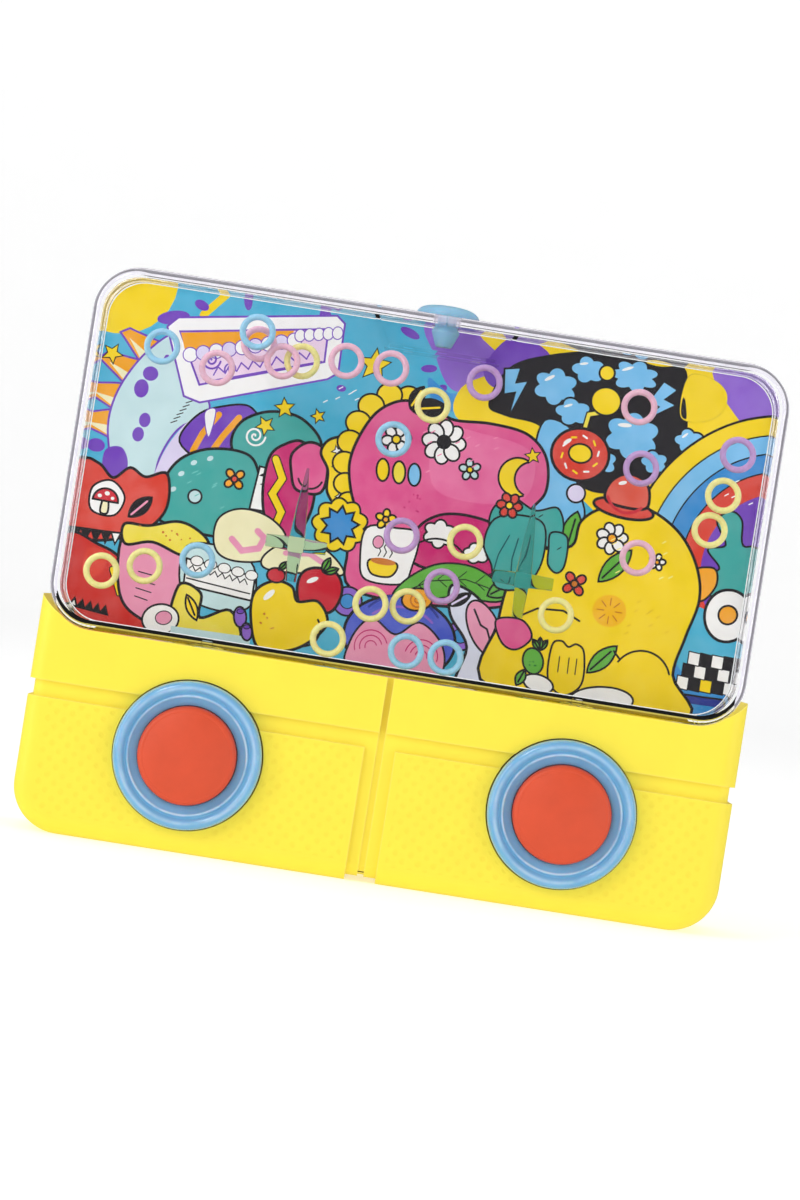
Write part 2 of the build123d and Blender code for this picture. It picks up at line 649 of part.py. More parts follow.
def main():
    body = housing_body()
    parts = {
        "front_housing": front_housing(body),
        "rear_housing": rear_housing(body),
        "housing_screws": housing_screws(),
        "tank_shell": tank_shell(),
        "tank_back": tank_back(),
        "backdrop_print": backdrop_print(),
        "filler_plug": filler_plug(),
    }
    for name, side in SIDES.items():
        parts["bezel_" + name] = bezel(side)
        parts["button_" + name] = button(side)
        parts["pump_bellows_" + name] = pump_bellows(side)
        parts["pump_chamber_" + name] = pump_chamber(side)
        parts["duct_seal_" + name] = duct_seal(side)
        parts["peg_" + name] = peg(side)
    for colour, places in RING_PLACES.items():
        for number, (x, z, layer) in enumerate(places, start=1):
            parts[f"ring_{colour}_{number}"] = ring(x, z, layer)

    os.makedirs("parts", exist_ok=True)
    for node, shape in parts.items():
        export_step(shape, f"parts/{node}.step")


main()
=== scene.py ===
import json
import math
import random

import bmesh
import bpy
from mathutils import Matrix, Vector
from mathutils.geometry import delaunay_2d_cdt

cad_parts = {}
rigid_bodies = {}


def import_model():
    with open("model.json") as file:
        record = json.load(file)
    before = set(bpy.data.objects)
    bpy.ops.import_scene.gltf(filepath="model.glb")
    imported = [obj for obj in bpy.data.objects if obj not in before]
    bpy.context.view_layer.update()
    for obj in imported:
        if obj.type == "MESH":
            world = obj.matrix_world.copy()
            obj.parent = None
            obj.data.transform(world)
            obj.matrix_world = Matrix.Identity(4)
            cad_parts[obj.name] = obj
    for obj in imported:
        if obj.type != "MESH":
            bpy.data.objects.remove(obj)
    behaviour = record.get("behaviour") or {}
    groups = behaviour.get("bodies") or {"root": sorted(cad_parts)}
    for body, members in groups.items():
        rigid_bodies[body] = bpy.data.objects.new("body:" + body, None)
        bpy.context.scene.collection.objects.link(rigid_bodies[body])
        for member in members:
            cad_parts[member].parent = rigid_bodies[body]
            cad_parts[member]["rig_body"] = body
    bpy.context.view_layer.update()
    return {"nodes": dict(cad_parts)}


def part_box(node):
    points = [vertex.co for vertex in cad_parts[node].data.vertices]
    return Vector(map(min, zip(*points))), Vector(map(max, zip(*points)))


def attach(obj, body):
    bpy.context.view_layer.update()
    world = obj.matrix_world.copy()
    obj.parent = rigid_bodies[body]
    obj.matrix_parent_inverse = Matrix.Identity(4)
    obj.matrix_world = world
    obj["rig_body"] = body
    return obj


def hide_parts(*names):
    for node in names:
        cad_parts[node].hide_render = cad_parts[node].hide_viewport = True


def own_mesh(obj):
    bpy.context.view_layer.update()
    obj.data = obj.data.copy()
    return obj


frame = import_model()
NODES = frame["nodes"]
MM = 0.001
CASING = "casing"


# ---- colours and node helpers ----
def linear(red, green, blue):
    """A linear colour from the usual 0 to 255 values."""
    def channel(value):
        share = value / 255
        return share / 12.92 if share <= 0.04045 else ((share + 0.055) / 1.055) ** 2.4

    return (channel(red), channel(green), channel(blue), 1.0)


class Shader:
    """A material with a Principled shader and short calls for the nodes that feed it."""

    def __init__(self, name, **inputs):
        self.material = bpy.data.materials.new(name)
        self.material.use_nodes = True
        self.tree = self.material.node_tree
        self.surface = self.tree.nodes["Principled BSDF"]
        self.output = self.tree.nodes["Material Output"]
        self.place = self.node("ShaderNodeTexCoord").outputs["Object"]
        for socket, value in inputs.items():
            self.surface.inputs[socket.replace("_", " ")].default_value = value

    def node(self, kind, inputs=None, **settings):
        made = self.tree.nodes.new(kind)
        for setting, value in settings.items():
            setattr(made, setting, value)
        for socket, value in (inputs or {}).items():
            if hasattr(value, "is_linked"):
                self.tree.links.new(value, made.inputs[socket])
            else:
                made.inputs[socket].default_value = value
        return made

    def link(self, output, socket):
        self.tree.links.new(output, self.surface.inputs[socket])

    def noise(self, size, detail=4.0, roughness=0.55):
        """Noise whose blobs are about size metres across."""
        inputs = {"Vector": self.place, "Scale": 1 / size, "Detail": detail, "Roughness": roughness}
        return self.node("ShaderNodeTexNoise", inputs).outputs["Fac"]

    def sum(self, operation, first, second=0.0, third=0.0):
        inputs = {0: first, 1: second, 2: third}
        return self.node("ShaderNodeMath", inputs, operation=operation).outputs[0]

    def between(self, value, low, high, at_low=0.0, at_high=1.0):
        """Maps low..high to at_low..at_high, clamped."""
        inputs = {0: value, 1: low, 2: high, 3: at_low, 4: at_high}
        return self.node("ShaderNodeMapRange", inputs, clamp=True).outputs[0]

    def blend(self, share, first, second):
        """A colour from first to second as share goes from 0 to 1."""
        made = self.node("ShaderNodeMix", data_type="RGBA")
        for socket, value in ((0, share), (6, first), (7, second)):
            if hasattr(value, "is_linked"):
                self.tree.links.new(value, made.inputs[socket])
            else:
                made.inputs[socket].default_value = value
        return made.outputs[2]

    def bump(self, height, distance, strength=1.0, under=None):
        inputs = {"Height": height, "Distance": distance, "Strength": strength}
        if under is not None:
            inputs["Normal"] = under
        return self.node("ShaderNodeBump", inputs).outputs["Normal"]

    def edges(self, radius):
        """1 on sharp outside edges, fading to 0 within radius of them."""
        round_normal = self.node("ShaderNodeBevel", {"Radius": radius}, samples=6).outputs[0]
        true_normal = self.node("ShaderNodeNewGeometry").outputs["Normal"]
        turn = self.node("ShaderNodeVectorMath", {0: round_normal, 1: true_normal}, operation="DOT_PRODUCT")
        return self.between(turn.outputs["Value"], 0.98, 0.75)

    def axes(self):
        split = self.node("ShaderNodeSeparateXYZ", {0: self.place})
        return split.outputs

    def root_of_squares(self, first, second):
        squares = [self.sum("POWER", side, 2.0) for side in (first, second)]
        return self.sum("SQRT", self.sum("ADD", *squares))

    def from_button(self):
        """The distance, across the front, from the axis of the nearer button."""
        x, _, z = self.axes()
        low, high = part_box("bezel_right")
        reach_x = self.sum("SUBTRACT", self.sum("ABSOLUTE", x), (low.x + high.x) / 2)
        reach_z = self.sum("SUBTRACT", z, (low.z + high.z) / 2)
        return self.root_of_squares(reach_x, reach_z)


def tinted(colour, factor):
    """A colour made darker or lighter by a factor."""
    return tuple(min(1.0, part * factor) for part in colour[:3]) + (1.0,)


# ---- moulded plastics ----
PAD_PITCH = 3.2 * MM
DIMPLE_RADIUS = 0.78 * MM
PAD_LOW, PAD_HIGH = 4.2 * MM, 26.6 * MM
PAD_IN, PAD_OUT = 4.6 * MM, 68.0 * MM
PAD_OPENING = 16.2 * MM
DIMPLE_DEPTH = 0.1 * MM
# How far the dimples are painted towards a darker yellow: painted shade in their hollows.
PAINTED_DIMPLE_SHADE = 0.22


def housing_plastic():
    """Satin yellow plastic, with staggered shallow dimples pressed into the two front pads. Painted shade
    darkens the dimples, and the edges are rubbed paler with a painted highlight.
    """
    yellow = linear(253, 232, 62)
    shader = Shader("housing_plastic", IOR=1.5)
    cloud = shader.noise(9 * MM)
    colour = shader.blend(shader.between(cloud, 0.35, 0.65), tinted(yellow, 0.97), yellow)
    # Edges rubbed paler, partly a painted highlight along them.
    painted_highlight = shader.edges(0.5 * MM)
    colour = shader.blend(shader.sum("MULTIPLY", painted_highlight, 0.35), colour, linear(255, 244, 150))
    scuffs = shader.noise(0.8 * MM, detail=6)
    shader.link(shader.between(scuffs, 0.3, 0.7, 0.36, 0.5), "Roughness")
    x, y, z = shader.axes()
    row = shader.sum("FLOOR", shader.sum("DIVIDE", z, PAD_PITCH / 2))
    stagger = shader.sum("MULTIPLY", shader.sum("MODULO", shader.sum("ABSOLUTE", row), 2.0), PAD_PITCH / 2)
    along = shader.sum("PINGPONG", shader.sum("ADD", x, stagger), PAD_PITCH / 2)
    across = shader.sum("PINGPONG", z, PAD_PITCH / 4)
    across = shader.sum("SUBTRACT", PAD_PITCH / 4, across)
    reach = shader.root_of_squares(along, across)
    dimple = shader.between(reach, DIMPLE_RADIUS * 0.35, DIMPLE_RADIUS)
    side = shader.sum("ABSOLUTE", x)
    inside = [
        shader.sum("GREATER_THAN", z, PAD_LOW),
        shader.sum("LESS_THAN", z, PAD_HIGH),
        shader.sum("GREATER_THAN", side, PAD_IN),
        shader.sum("LESS_THAN", side, PAD_OUT),
        shader.sum("GREATER_THAN", shader.from_button(), PAD_OPENING),
        shader.sum("LESS_THAN", y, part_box("front_housing")[0].y + 0.1 * MM),
    ]
    mask = inside[0]
    for test in inside[1:]:
        mask = shader.sum("MULTIPLY", mask, test)
    pressed = shader.sum("MULTIPLY", shader.sum("SUBTRACT", 1.0, dimple), mask)
    grain = shader.bump(shader.noise(0.35 * MM, detail=3), 0.02 * MM, 0.35)
    dented = shader.bump(shader.sum("SUBTRACT", 1.0, pressed), DIMPLE_DEPTH, 0.6, under=grain)
    shader.link(dented, "Normal")
    # Painted shade: the dimples are painted a darker yellow, as if in shade in their hollows.
    painted_dimple_shade = shader.sum("MULTIPLY", pressed, PAINTED_DIMPLE_SHADE)
    shader.link(shader.blend(painted_dimple_shade, colour, linear(236, 206, 40)), "Base Color")
    return shader.material


def moulded_plastic(name, colour, roughness, grain=0.4, rubbed_and_highlit=0.3):
    """Plain moulded plastic: faint colour drift, fine grain, and edges rubbed a little paler, partly as a
    painted highlight.
    """
    shader = Shader(name, IOR=1.5)
    cloud = shader.noise(6 * MM)
    base = shader.blend(shader.between(cloud, 0.3, 0.7), tinted(colour, 0.94), tinted(colour, 1.03))
    pale = tuple(part * 0.6 + 0.4 for part in colour[:3]) + (1.0,)
    # Edges rubbed paler, partly a painted highlight along them.
    base = shader.blend(shader.sum("MULTIPLY", shader.edges(0.3 * MM), rubbed_and_highlit), base, pale)
    shader.link(base, "Base Color")
    smudge = shader.noise(2.5 * MM, detail=5)
    shader.link(shader.between(smudge, 0.3, 0.7, roughness * 0.85, roughness * 1.2), "Roughness")
    shader.link(shader.bump(shader.noise(0.3 * MM, detail=3), 0.02 * MM, grain), "Normal")
    return shader.material


BEAD_RADIUS = 12.05 * MM
RIM_CREST_RADIUS = 13.7 * MM


def collar_plastic():
    """Glossy blue plastic with painted highlights: paler rings along the bead and the round rim."""
    shader = Shader("bezel_plastic", IOR=1.5, Coat_Weight=1.0, Coat_Roughness=0.05, Subsurface_Weight=0.4,
                    Subsurface_Scale=1.5 * MM)
    reach = shader.from_button()
    # Painted highlight: pale rings on the bead and on the rim's crest, patchy round the collar.
    painted_highlight = []
    for radius, spread, share in ((BEAD_RADIUS, 0.35 * MM, 0.6), (RIM_CREST_RADIUS, 0.5 * MM, 0.4)):
        aside = shader.sum("ABSOLUTE", shader.sum("SUBTRACT", reach, radius))
        painted_highlight.append(shader.between(aside, 0.1 * MM, spread, share, 0.0))
    patchy = shader.between(shader.noise(5 * MM, detail=3), 0.35, 0.6, 0.35, 1.0)
    patchy_painted_highlight = shader.sum("MULTIPLY", shader.sum("MAXIMUM", *painted_highlight), patchy)
    drift = shader.between(shader.noise(6 * MM), 0.3, 0.7)
    base = shader.blend(drift, linear(112, 174, 218), linear(122, 185, 227))
    shader.link(shader.blend(patchy_painted_highlight, base, linear(214, 232, 246)), "Base Color")
    smudge = shader.noise(2.5 * MM, detail=5)
    shader.link(shader.between(smudge, 0.3, 0.7, 0.13, 0.2), "Roughness")
    shader.link(shader.bump(shader.noise(0.3 * MM, detail=3), 0.02 * MM, 0.2), "Normal")
    return shader.material


def see_through_in_shadow(shader):
    """Lets lamps shine straight through, so that clear plastic doesn't darken what it covers."""
    path = shader.node("ShaderNodeLightPath").outputs["Is Shadow Ray"]
    clear = shader.node("ShaderNodeBsdfTransparent", {"Color": (1.0, 1.0, 1.0, 1.0)})
    mix = shader.node("ShaderNodeMixShader", {0: path, 1: shader.surface.outputs[0], 2: clear.outputs[0]})
    shader.tree.links.new(mix.outputs[0], shader.output.inputs["Surface"])


def clear_plastic(name, colour, ior, ripple):
    """Polished clear plastic with faint mould ripples and hairline scuffs."""
    shader = Shader(name, Transmission_Weight=1.0, IOR=ior)
    haze = shader.noise(7 * MM)
    shader.link(shader.blend(shader.between(haze, 0.35, 0.65), tinted(colour, 0.985), colour), "Base Color")
    scuffs = shader.noise(0.5 * MM, detail=6, roughness=0.7)
    shader.link(shader.between(scuffs, 0.55, 0.8, 0.0, 0.05), "Roughness")
    shader.link(shader.bump(shader.noise(5 * MM, detail=1), ripple, 0.5), "Normal")
    see_through_in_shadow(shader)
    return shader.material


# Painted glow: emission strength of the tank's rim, which is no lamp.
PAINTED_RIM_GLOW = 0.17


def hazy_rim(name, ior):
    """The tank's moulded sides, which look milky where the eye runs along the wall, with a faint painted glow
    from emission.
    """
    shader = Shader(name, Transmission_Weight=0.78, IOR=ior, Coat_Weight=1.0, Coat_Roughness=0.03,
                    Emission_Color=linear(214, 212, 222), Emission_Strength=PAINTED_RIM_GLOW)
    cloud = shader.noise(4 * MM)
    pale, dull = linear(226, 222, 234), linear(208, 203, 218)
    shader.link(shader.blend(shader.between(cloud, 0.35, 0.65), dull, pale), "Base Color")
    scuffs = shader.noise(0.6 * MM, detail=6, roughness=0.7)
    shader.link(shader.between(scuffs, 0.4, 0.8, 0.03, 0.12), "Roughness")
    shader.link(shader.bump(shader.noise(3 * MM, detail=1), 0.05 * MM, 0.5), "Normal")
    see_through_in_shadow(shader)
    return shader.material


def seated_edge():
    """The end of the tank's floor inside the base: an amber painted reflection of the yellow plastic round
    it, with a painted glow from emission.
    """
    shader = Shader("tank_plastic_seated_painted_glow", IOR=1.46, Emission_Strength=0.5)
    band = shader.noise(1.5 * MM, detail=3)
    # Painted reflection and glow: one amber colour feeds both the base colour and the emission.
    amber = shader.blend(shader.between(band, 0.35, 0.65), linear(232, 206, 120), linear(176, 132, 66))
    shader.link(amber, "Base Color")
    shader.link(amber, "Emission Color")
    shader.link(shader.between(band, 0.3, 0.7, 0.2, 0.4), "Roughness")
    shader.link(shader.bump(shader.noise(0.6 * MM), 0.03 * MM, 0.4), "Normal")
    return shader.material


def soft_vinyl():
    """Translucent pale blue vinyl."""
    shader = Shader("plug_vinyl", IOR=1.4, Transmission_Weight=0.2, Subsurface_Weight=0.5,
                    Subsurface_Scale=2 * MM)
    blue = linear(160, 216, 246)
    cloud = shader.noise(3 * MM)
    shader.link(shader.blend(shader.between(cloud, 0.35, 0.65), tinted(blue, 0.9), blue), "Base Color")
    smudge = shader.noise(0.9 * MM, detail=5)
    shader.link(shader.between(smudge, 0.3, 0.7, 0.3, 0.45), "Roughness")
    shader.link(shader.bump(shader.noise(0.5 * MM), 0.03 * MM, 0.5), "Normal")
    return shader.material


def ring_plastic(name, colour):
    """Milky coloured plastic, glossy, with faint flow marks."""
    shader = Shader(name, IOR=1.5, Subsurface_Weight=0.25, Subsurface_Scale=0.8 * MM)
    flow = shader.noise(1.6 * MM, detail=3)
    base = shader.blend(shader.between(flow, 0.3, 0.7), tinted(colour, 1.0), tinted(colour, 1.14))
    shader.link(base, "Base Color")
    smudge = shader.noise(0.6 * MM, detail=4)
    shader.link(shader.between(smudge, 0.3, 0.7, 0.22, 0.36), "Roughness")
    shader.link(shader.bump(shader.noise(0.4 * MM, detail=2), 0.015 * MM, 0.4), "Normal")
    return shader.material


def rubber(name, colour):
    """Matt moulded rubber with a dusty bloom."""
    shader = Shader(name, IOR=1.5)
    bloom = shader.noise(1.5 * MM, detail=6, roughness=0.7)
    pale = tuple(part * 0.85 + 0.06 for part in colour[:3]) + (1.0,)
    shader.link(shader.blend(shader.between(bloom, 0.4, 0.75), colour, pale), "Base Color")
    shader.link(shader.between(bloom, 0.3, 0.7, 0.55, 0.75), "Roughness")
    shader.link(shader.bump(shader.noise(0.25 * MM), 0.03 * MM, 0.5), "Normal")
    return shader.material


def plated_steel():
    """Zinc-plated screw steel with fine turning marks."""
    shader = Shader("screw_steel", Metallic=1.0)
    steel = linear(196, 198, 202)
    patch = shader.noise(0.8 * MM, detail=5)
    shader.link(shader.blend(shader.between(patch, 0.3, 0.7), tinted(steel, 0.8), steel), "Base Color")
    shader.link(shader.between(patch, 0.3, 0.7, 0.22, 0.42), "Roughness")
    shader.link(shader.bump(shader.noise(0.12 * MM, detail=2), 0.01 * MM, 0.6), "Normal")
    return shader.material


def paper_back():
    """The white back of the picture sheet, with faint fibres."""
    shader = Shader("sheet_back", IOR=1.45)
    fibre = shader.noise(0.4 * MM, detail=8, roughness=0.7)
    base = shader.blend(shader.between(fibre, 0.35, 0.7), linear(236, 235, 230), linear(248, 247, 244))
    shader.link(base, "Base Color")
    shader.link(shader.between(fibre, 0.3, 0.7, 0.5, 0.65), "Roughness")
    shader.link(shader.bump(fibre, 0.02 * MM, 0.4), "Normal")
    return shader.material


# Painted glow: emission strength that brightens the picture behind the clear tank; no lamp lights it from
# behind.
PAINTED_PRINT_GLOW = 0.14
DOT_PITCH = 0.36 * MM


def printed_ink():
    """Process ink with a faint painted glow from emission: a dot screen and slight ink drift."""
    shader = Shader("printed_ink", IOR=1.5, Specular_IOR_Level=0.05, Emission_Strength=PAINTED_PRINT_GLOW)
    ink = shader.node("ShaderNodeVertexColor", layer_name="ink").outputs["Color"]
    turned = shader.node("ShaderNodeMapping", {"Vector": shader.place, "Rotation": (0, math.radians(45), 0)})
    grid = {"Vector": turned.outputs[0], "Scale": 1 / DOT_PITCH, "Randomness": 0.0}
    screen = shader.node("ShaderNodeTexVoronoi", grid)
    dots = shader.between(screen.outputs["Distance"], 0.25, 0.4)
    drift = shader.noise(5 * MM, detail=3)
    lighter = shader.blend(0.5, ink, (1, 1, 1, 1))
    richer = {"Saturation": 1.08, "Value": 0.94, "Color": ink}
    deeper = shader.node("ShaderNodeHueSaturation", richer).outputs[0]
    drifted = shader.blend(shader.between(drift, 0.35, 0.65), ink, deeper)
    printed = shader.blend(shader.sum("MULTIPLY", dots, 0.025), drifted, lighter)
    shader.link(printed, "Base Color")
    shader.link(printed, "Emission Color")
    shader.link(shader.between(drift, 0.3, 0.7, 0.35, 0.5), "Roughness")
    return shader.material


# ---- the printed picture: one flat sheet, cut along the edges of every inked shape ----
BLACK = (24, 20, 26)
WHITE = (250, 248, 246)
SKY = (92, 182, 214)
LIGHT_SKY = (132, 196, 238)
SEA = (78, 148, 212)
NAVY = (56, 66, 150)
YELLOW = (250, 216, 44)
PALE_YELLOW = (244, 226, 96)
CREAM = (246, 238, 196)
ORANGE = (246, 170, 62)
CORAL = (222, 86, 76)
RED = (206, 54, 66)
PINK = (230, 104, 154)
ROSE = (238, 158, 188)
MAGENTA = (206, 66, 122)
LILAC = (226, 216, 242)
PURPLE = (122, 80, 188)
VIOLET = (150, 112, 208)
TEAL = (78, 170, 164)
ICE = (202, 228, 230)
GREEN = (104, 178, 74)
BROWN = (206, 122, 54)

LINE = 0.6
THIN = 0.42


def smooth(points, steps=6):
    """A closed Catmull-Rom curve through the points."""
    count = len(points)
    curve = []
    for i in range(count):
        p0, p1, p2, p3 = (points[(i + k) % count] for k in (-1, 0, 1, 2))
        for step in range(steps):
            t = step / steps
            spot = []
            for a, b, c, d in zip(p0, p1, p2, p3):
                squared = (2 * a - 5 * b + 4 * c - d) * t**2
                cubed = (3 * b - a - 3 * c + d) * t**3
                spot.append(0.5 * (2 * b + (c - a) * t + squared + cubed))
            curve.append(tuple(spot))
    return curve


def placed(points, x, z, turn=0.0, size=1.0):
    """Points scaled, turned by degrees and moved to (x, z)."""
    c, s = size * math.cos(math.radians(turn)), size * math.sin(math.radians(turn))
    return [(x + px * c - pz * s, z + px * s + pz * c) for px, pz in points]


def oval(x, z, rx, rz, turn=0.0, count=28):
    angles = [2 * math.pi * i / count for i in range(count)]
    return placed([(rx * math.cos(a), rz * math.sin(a)) for a in angles], x, z, turn)


def lobed(x, z, rx, rz, lobes, depth, turn=0.0):
    """An oval with a scalloped edge, as on a cloud or a splash."""
    ring = []
    count = 10 * lobes
    for i in range(count):
        angle = 2 * math.pi * i / count
        reach = 1 - depth / 2 + depth * abs(math.sin(lobes * angle / 2))
        ring.append((rx * reach * math.cos(angle), rz * reach * math.sin(angle)))
    return placed(ring, x, z, turn)


def star(x, z, radius, points=5, waist=0.46, turn=0.0):
    ring = []
    for i in range(2 * points):
        angle = math.pi * i / points + math.pi / 2
        reach = radius if i % 2 == 0 else radius * waist
        ring.append((reach * math.cos(angle), reach * math.sin(angle)))
    return placed(ring, x, z, turn)


def arc(x, z, radius, start, end, count=24):
    """Points along a circle's arc, in degrees."""
    angles = [math.radians(start + (end - start) * i / count) for i in range(count + 1)]
    return [(x + radius * math.cos(a), z + radius * math.sin(a)) for a in angles]


def zigzag(start, end, height, teeth):
    """A sawtooth line from start to end."""
    along = (Vector(end) - Vector(start)) / (2 * teeth)
    up = Vector((-along.y, along.x)).normalized() * height
    return [tuple(Vector(start) + along * i + up * (i % 2)) for i in range(2 * teeth + 1)]


def signed_area(outline):
    return sum(a[0] * b[1] - b[0] * a[1] for a, b in zip(outline, outline[1:] + outline[:1])) / 2


def sidestep(path, distance, closed):
    """The path moved sideways to its right by a distance, with corners kept no longer than twice that."""
    count = len(path)
    moved = []
    for i, (x, z) in enumerate(path):
        before = path[i - 1] if closed or i > 0 else path[i]
        after = path[(i + 1) % count] if closed or i < count - 1 else path[i]
        ahead = Vector((after[0] - x, after[1] - z)).normalized()
        behind = Vector((x - before[0], z - before[1])).normalized()
        way = ahead + behind
        way = way.normalized() if way.length > 0.2 else (ahead if ahead.length else behind)
        square = Vector((way.y, -way.x))
        lean = max(way.dot(ahead) if ahead.length else 1.0, 0.5)
        moved.append((x + square.x * distance / lean, z + square.y * distance / lean))
    return moved


def holds(outline, x, z):
    """Whether a closed outline holds a point, by counting the edges to its right."""
    inside = False
    for (ax, az), (bx, bz) in zip(outline, outline[1:] + outline[:1]):
        if (az > z) != (bz > z) and x < ax + (bx - ax) * (z - az) / (bz - az):
            inside = not inside
    return inside


class Picture:
    """Inked shapes, given from back to front in millimetres of X and Z."""

    def __init__(self):
        self.points = []
        self.paths = []
        self.outlines = []
        self.inks = []

    def fill(self, outline, colour):
        outline = [tuple(p) for p in outline]
        if signed_area(outline) < 0:
            outline.reverse()
        first = outline.index(max(outline))
        outline = outline[first:] + outline[:first]
        start = len(self.points)
        self.points += [Vector(p) for p in outline]
        self.paths.append(outline)
        self.outlines.append(list(range(start, start + len(outline))))
        self.inks.append(linear(*colour))

    def shape(self, outline, colour, width=LINE, edge=BLACK):
        """A filled shape inside an inked outline."""
        outline = list(outline)
        if signed_area(outline) < 0:
            outline.reverse()
        self.fill(sidestep(outline, width / 2, closed=True), edge)
        self.fill(sidestep(outline, -width / 2, closed=True), colour)

    def line(self, path, width=LINE, colour=BLACK):
        """A stroke of one width with round ends."""
        path = [tuple(p) for p in path]
        right = sidestep(path, width / 2, closed=False)
        left = sidestep(path, -width / 2, closed=False)
        ends = []
        for tip, inner, side in ((path[-1], path[-2], right[-1]), (path[0], path[1], left[0])):
            out = math.atan2(side[1] - tip[1], side[0] - tip[0])
            turns = [out + math.pi * k / 4 for k in (1, 2, 3)]
            ends.append([(tip[0] + width / 2 * math.cos(a), tip[1] + width / 2 * math.sin(a)) for a in turns])
        self.fill(right + ends[0] + left[::-1] + ends[1], colour)

    def sheet(self, outline, front_y, back_y):
        """A mesh cut to the outline: the picture on its front, blank paper on its rim and back."""
        self.fill(outline, (0, 0, 0))
        border = len(self.paths) - 1
        points, _, faces, _, _, owners = delaunay_2d_cdt(self.points, [], self.outlines, 1, 1e-5)
        mesh = bmesh.new()
        ink = mesh.loops.layers.float_color.new("ink")
        corners = [mesh.verts.new((p.x * MM, front_y, p.y * MM)) for p in points]
        for face, shapes in zip(faces, owners):
            x, z = (sum(points[i][axis] for i in face) / len(face) for axis in (0, 1))
            inside = [shape for shape in sorted(shapes) if holds(self.paths[shape], x, z)]
            if len(inside) < 2 or inside[-1] != border:
                continue
            made = mesh.faces.new([corners[i] for i in face])
            for loop in made.loops:
                loop[ink] = self.inks[inside[-2]]
        rim = [edge for edge in mesh.edges if len(edge.link_faces) == 1]
        walls = bmesh.ops.extrude_edge_only(mesh, edges=rim)["geom"]
        back = {part for part in walls if isinstance(part, bmesh.types.BMVert)}
        for vert in back:
            vert.co.y = back_y
        edges = [part for part in walls if isinstance(part, bmesh.types.BMEdge)]
        loop_edges = [edge for edge in edges if all(vert in back for vert in edge.verts)]
        new_faces = [part for part in walls if isinstance(part, bmesh.types.BMFace)]
        new_faces += bmesh.ops.contextual_create(mesh, geom=loop_edges)["faces"]
        for face in new_faces:
            face.material_index = 1
        bmesh.ops.delete(mesh, geom=[v for v in mesh.verts if not v.link_faces], context="VERTS")
        bmesh.ops.recalc_face_normals(mesh, faces=mesh.faces)
        return mesh


# ---- the shapes that the picture is made of ----
def cloud(art, x, z, rx, rz, colour, edge=BLACK, lobes=7, width=LINE):
    art.shape(lobed(x, z, rx, rz, lobes, 0.28), colour, width, edge)


def hill(art, points, colour, width=LINE):
    art.shape(smooth(points), colour, width)


def leaf(art, x, z, length, girth, turn, colour, vein=BLACK):
    """A pointed leaf with a midrib."""
    shares = (0.0, 0.06, 0.15, 0.28, 0.42, 0.56, 0.7, 0.82, 0.92, 1.0)
    half = [(length * t, girth * math.sin(math.pi * t) ** 0.8) for t in shares]
    outline = half + [(px, -pz) for px, pz in half[-2:0:-1]]
    art.shape(placed(outline, x, z, turn), colour, THIN)
    art.line(placed([(length * 0.12, 0), (length * 0.8, 0)], x, z, turn), THIN, vein)


def mushroom(art, x, z, size, cap, spots, stalk=CREAM):
    stem = [(-0.28, -0.9), (0.28, -0.9), (0.2, 0.1), (-0.2, 0.1)]
    art.shape(placed(smooth(stem), x, z, 0, size), stalk, THIN)
    top = arc(0, 0, 1.0, 0, 180, 20)
    art.shape(placed(top, x, z, 0, size), cap, THIN)
    for px, pz, r in ((-0.5, 0.35, 0.17), (0.05, 0.62, 0.2), (0.52, 0.3, 0.15)):
        art.fill(oval(x + px * size, z + pz * size, r * size, r * size * 0.85, 0, 14), spots)


def shine(art, x, z, rx, rz, turn=0.0):
    """A small pale highlight."""
    art.fill(oval(x, z, rx, rz, turn, 16), WHITE)


def doughnut(art, x, z, radius, colour, hole, turn=0.0, squash=0.9):
    art.shape(oval(x, z, radius, radius * squash, turn), colour)
    art.shape(oval(x, z + radius * 0.04, radius * 0.4, radius * 0.36 * squash, turn, 24), hole, THIN)
    shine(art, x - radius * 0.5, z + radius * 0.42 * squash, radius * 0.16, radius * 0.07, 40)


def blossom(art, x, z, radius, petals, heart, count=5, turn=0.0):
    for i in range(count):
        angle = math.radians(turn + 360 * i / count)
        px, pz = x + 0.62 * radius * math.cos(angle), z + 0.62 * radius * math.sin(angle)
        art.shape(oval(px, pz, radius * 0.42, radius * 0.34, turn + 360 * i / count, 20), petals, THIN)
    art.shape(oval(x, z, radius * 0.3, radius * 0.3, 0, 18), heart, THIN)


def bolt(art, x, z, size, turn, colour):
    """A fat lightning flash with a heavy shadow."""
    outline = [
        (-0.5, 1.0), (0.25, 1.0), (0.0, 0.35), (0.55, 0.4), (-0.35, -1.0), (-0.08, -0.1), (-0.6, -0.15),
    ]
    art.fill(placed(outline, x + 0.12 * size, z - 0.12 * size, turn, size * 1.06), BLACK)
    art.shape(placed(outline, x, z, turn, size), colour, THIN)


def swirl(art, x, z, radius, turns, colour=BLACK, width=THIN):
    steps = int(turns * 20)
    path = []
    for i in range(2, steps + 1):
        reach, angle = radius * i / steps, 2 * math.pi * i / 20
        path.append((x + reach * math.cos(angle), z + reach * math.sin(angle)))
    art.line(path, width, colour)


def scattered(art, seed, count, x_range, z_range, sizes, colour):
    """Small round spots strewn over a patch."""
    draw = random.Random(seed)
    for _ in range(count):
        radius = draw.uniform(*sizes)
        art.fill(oval(draw.uniform(*x_range), draw.uniform(*z_range), radius, radius, 0, 12), colour)


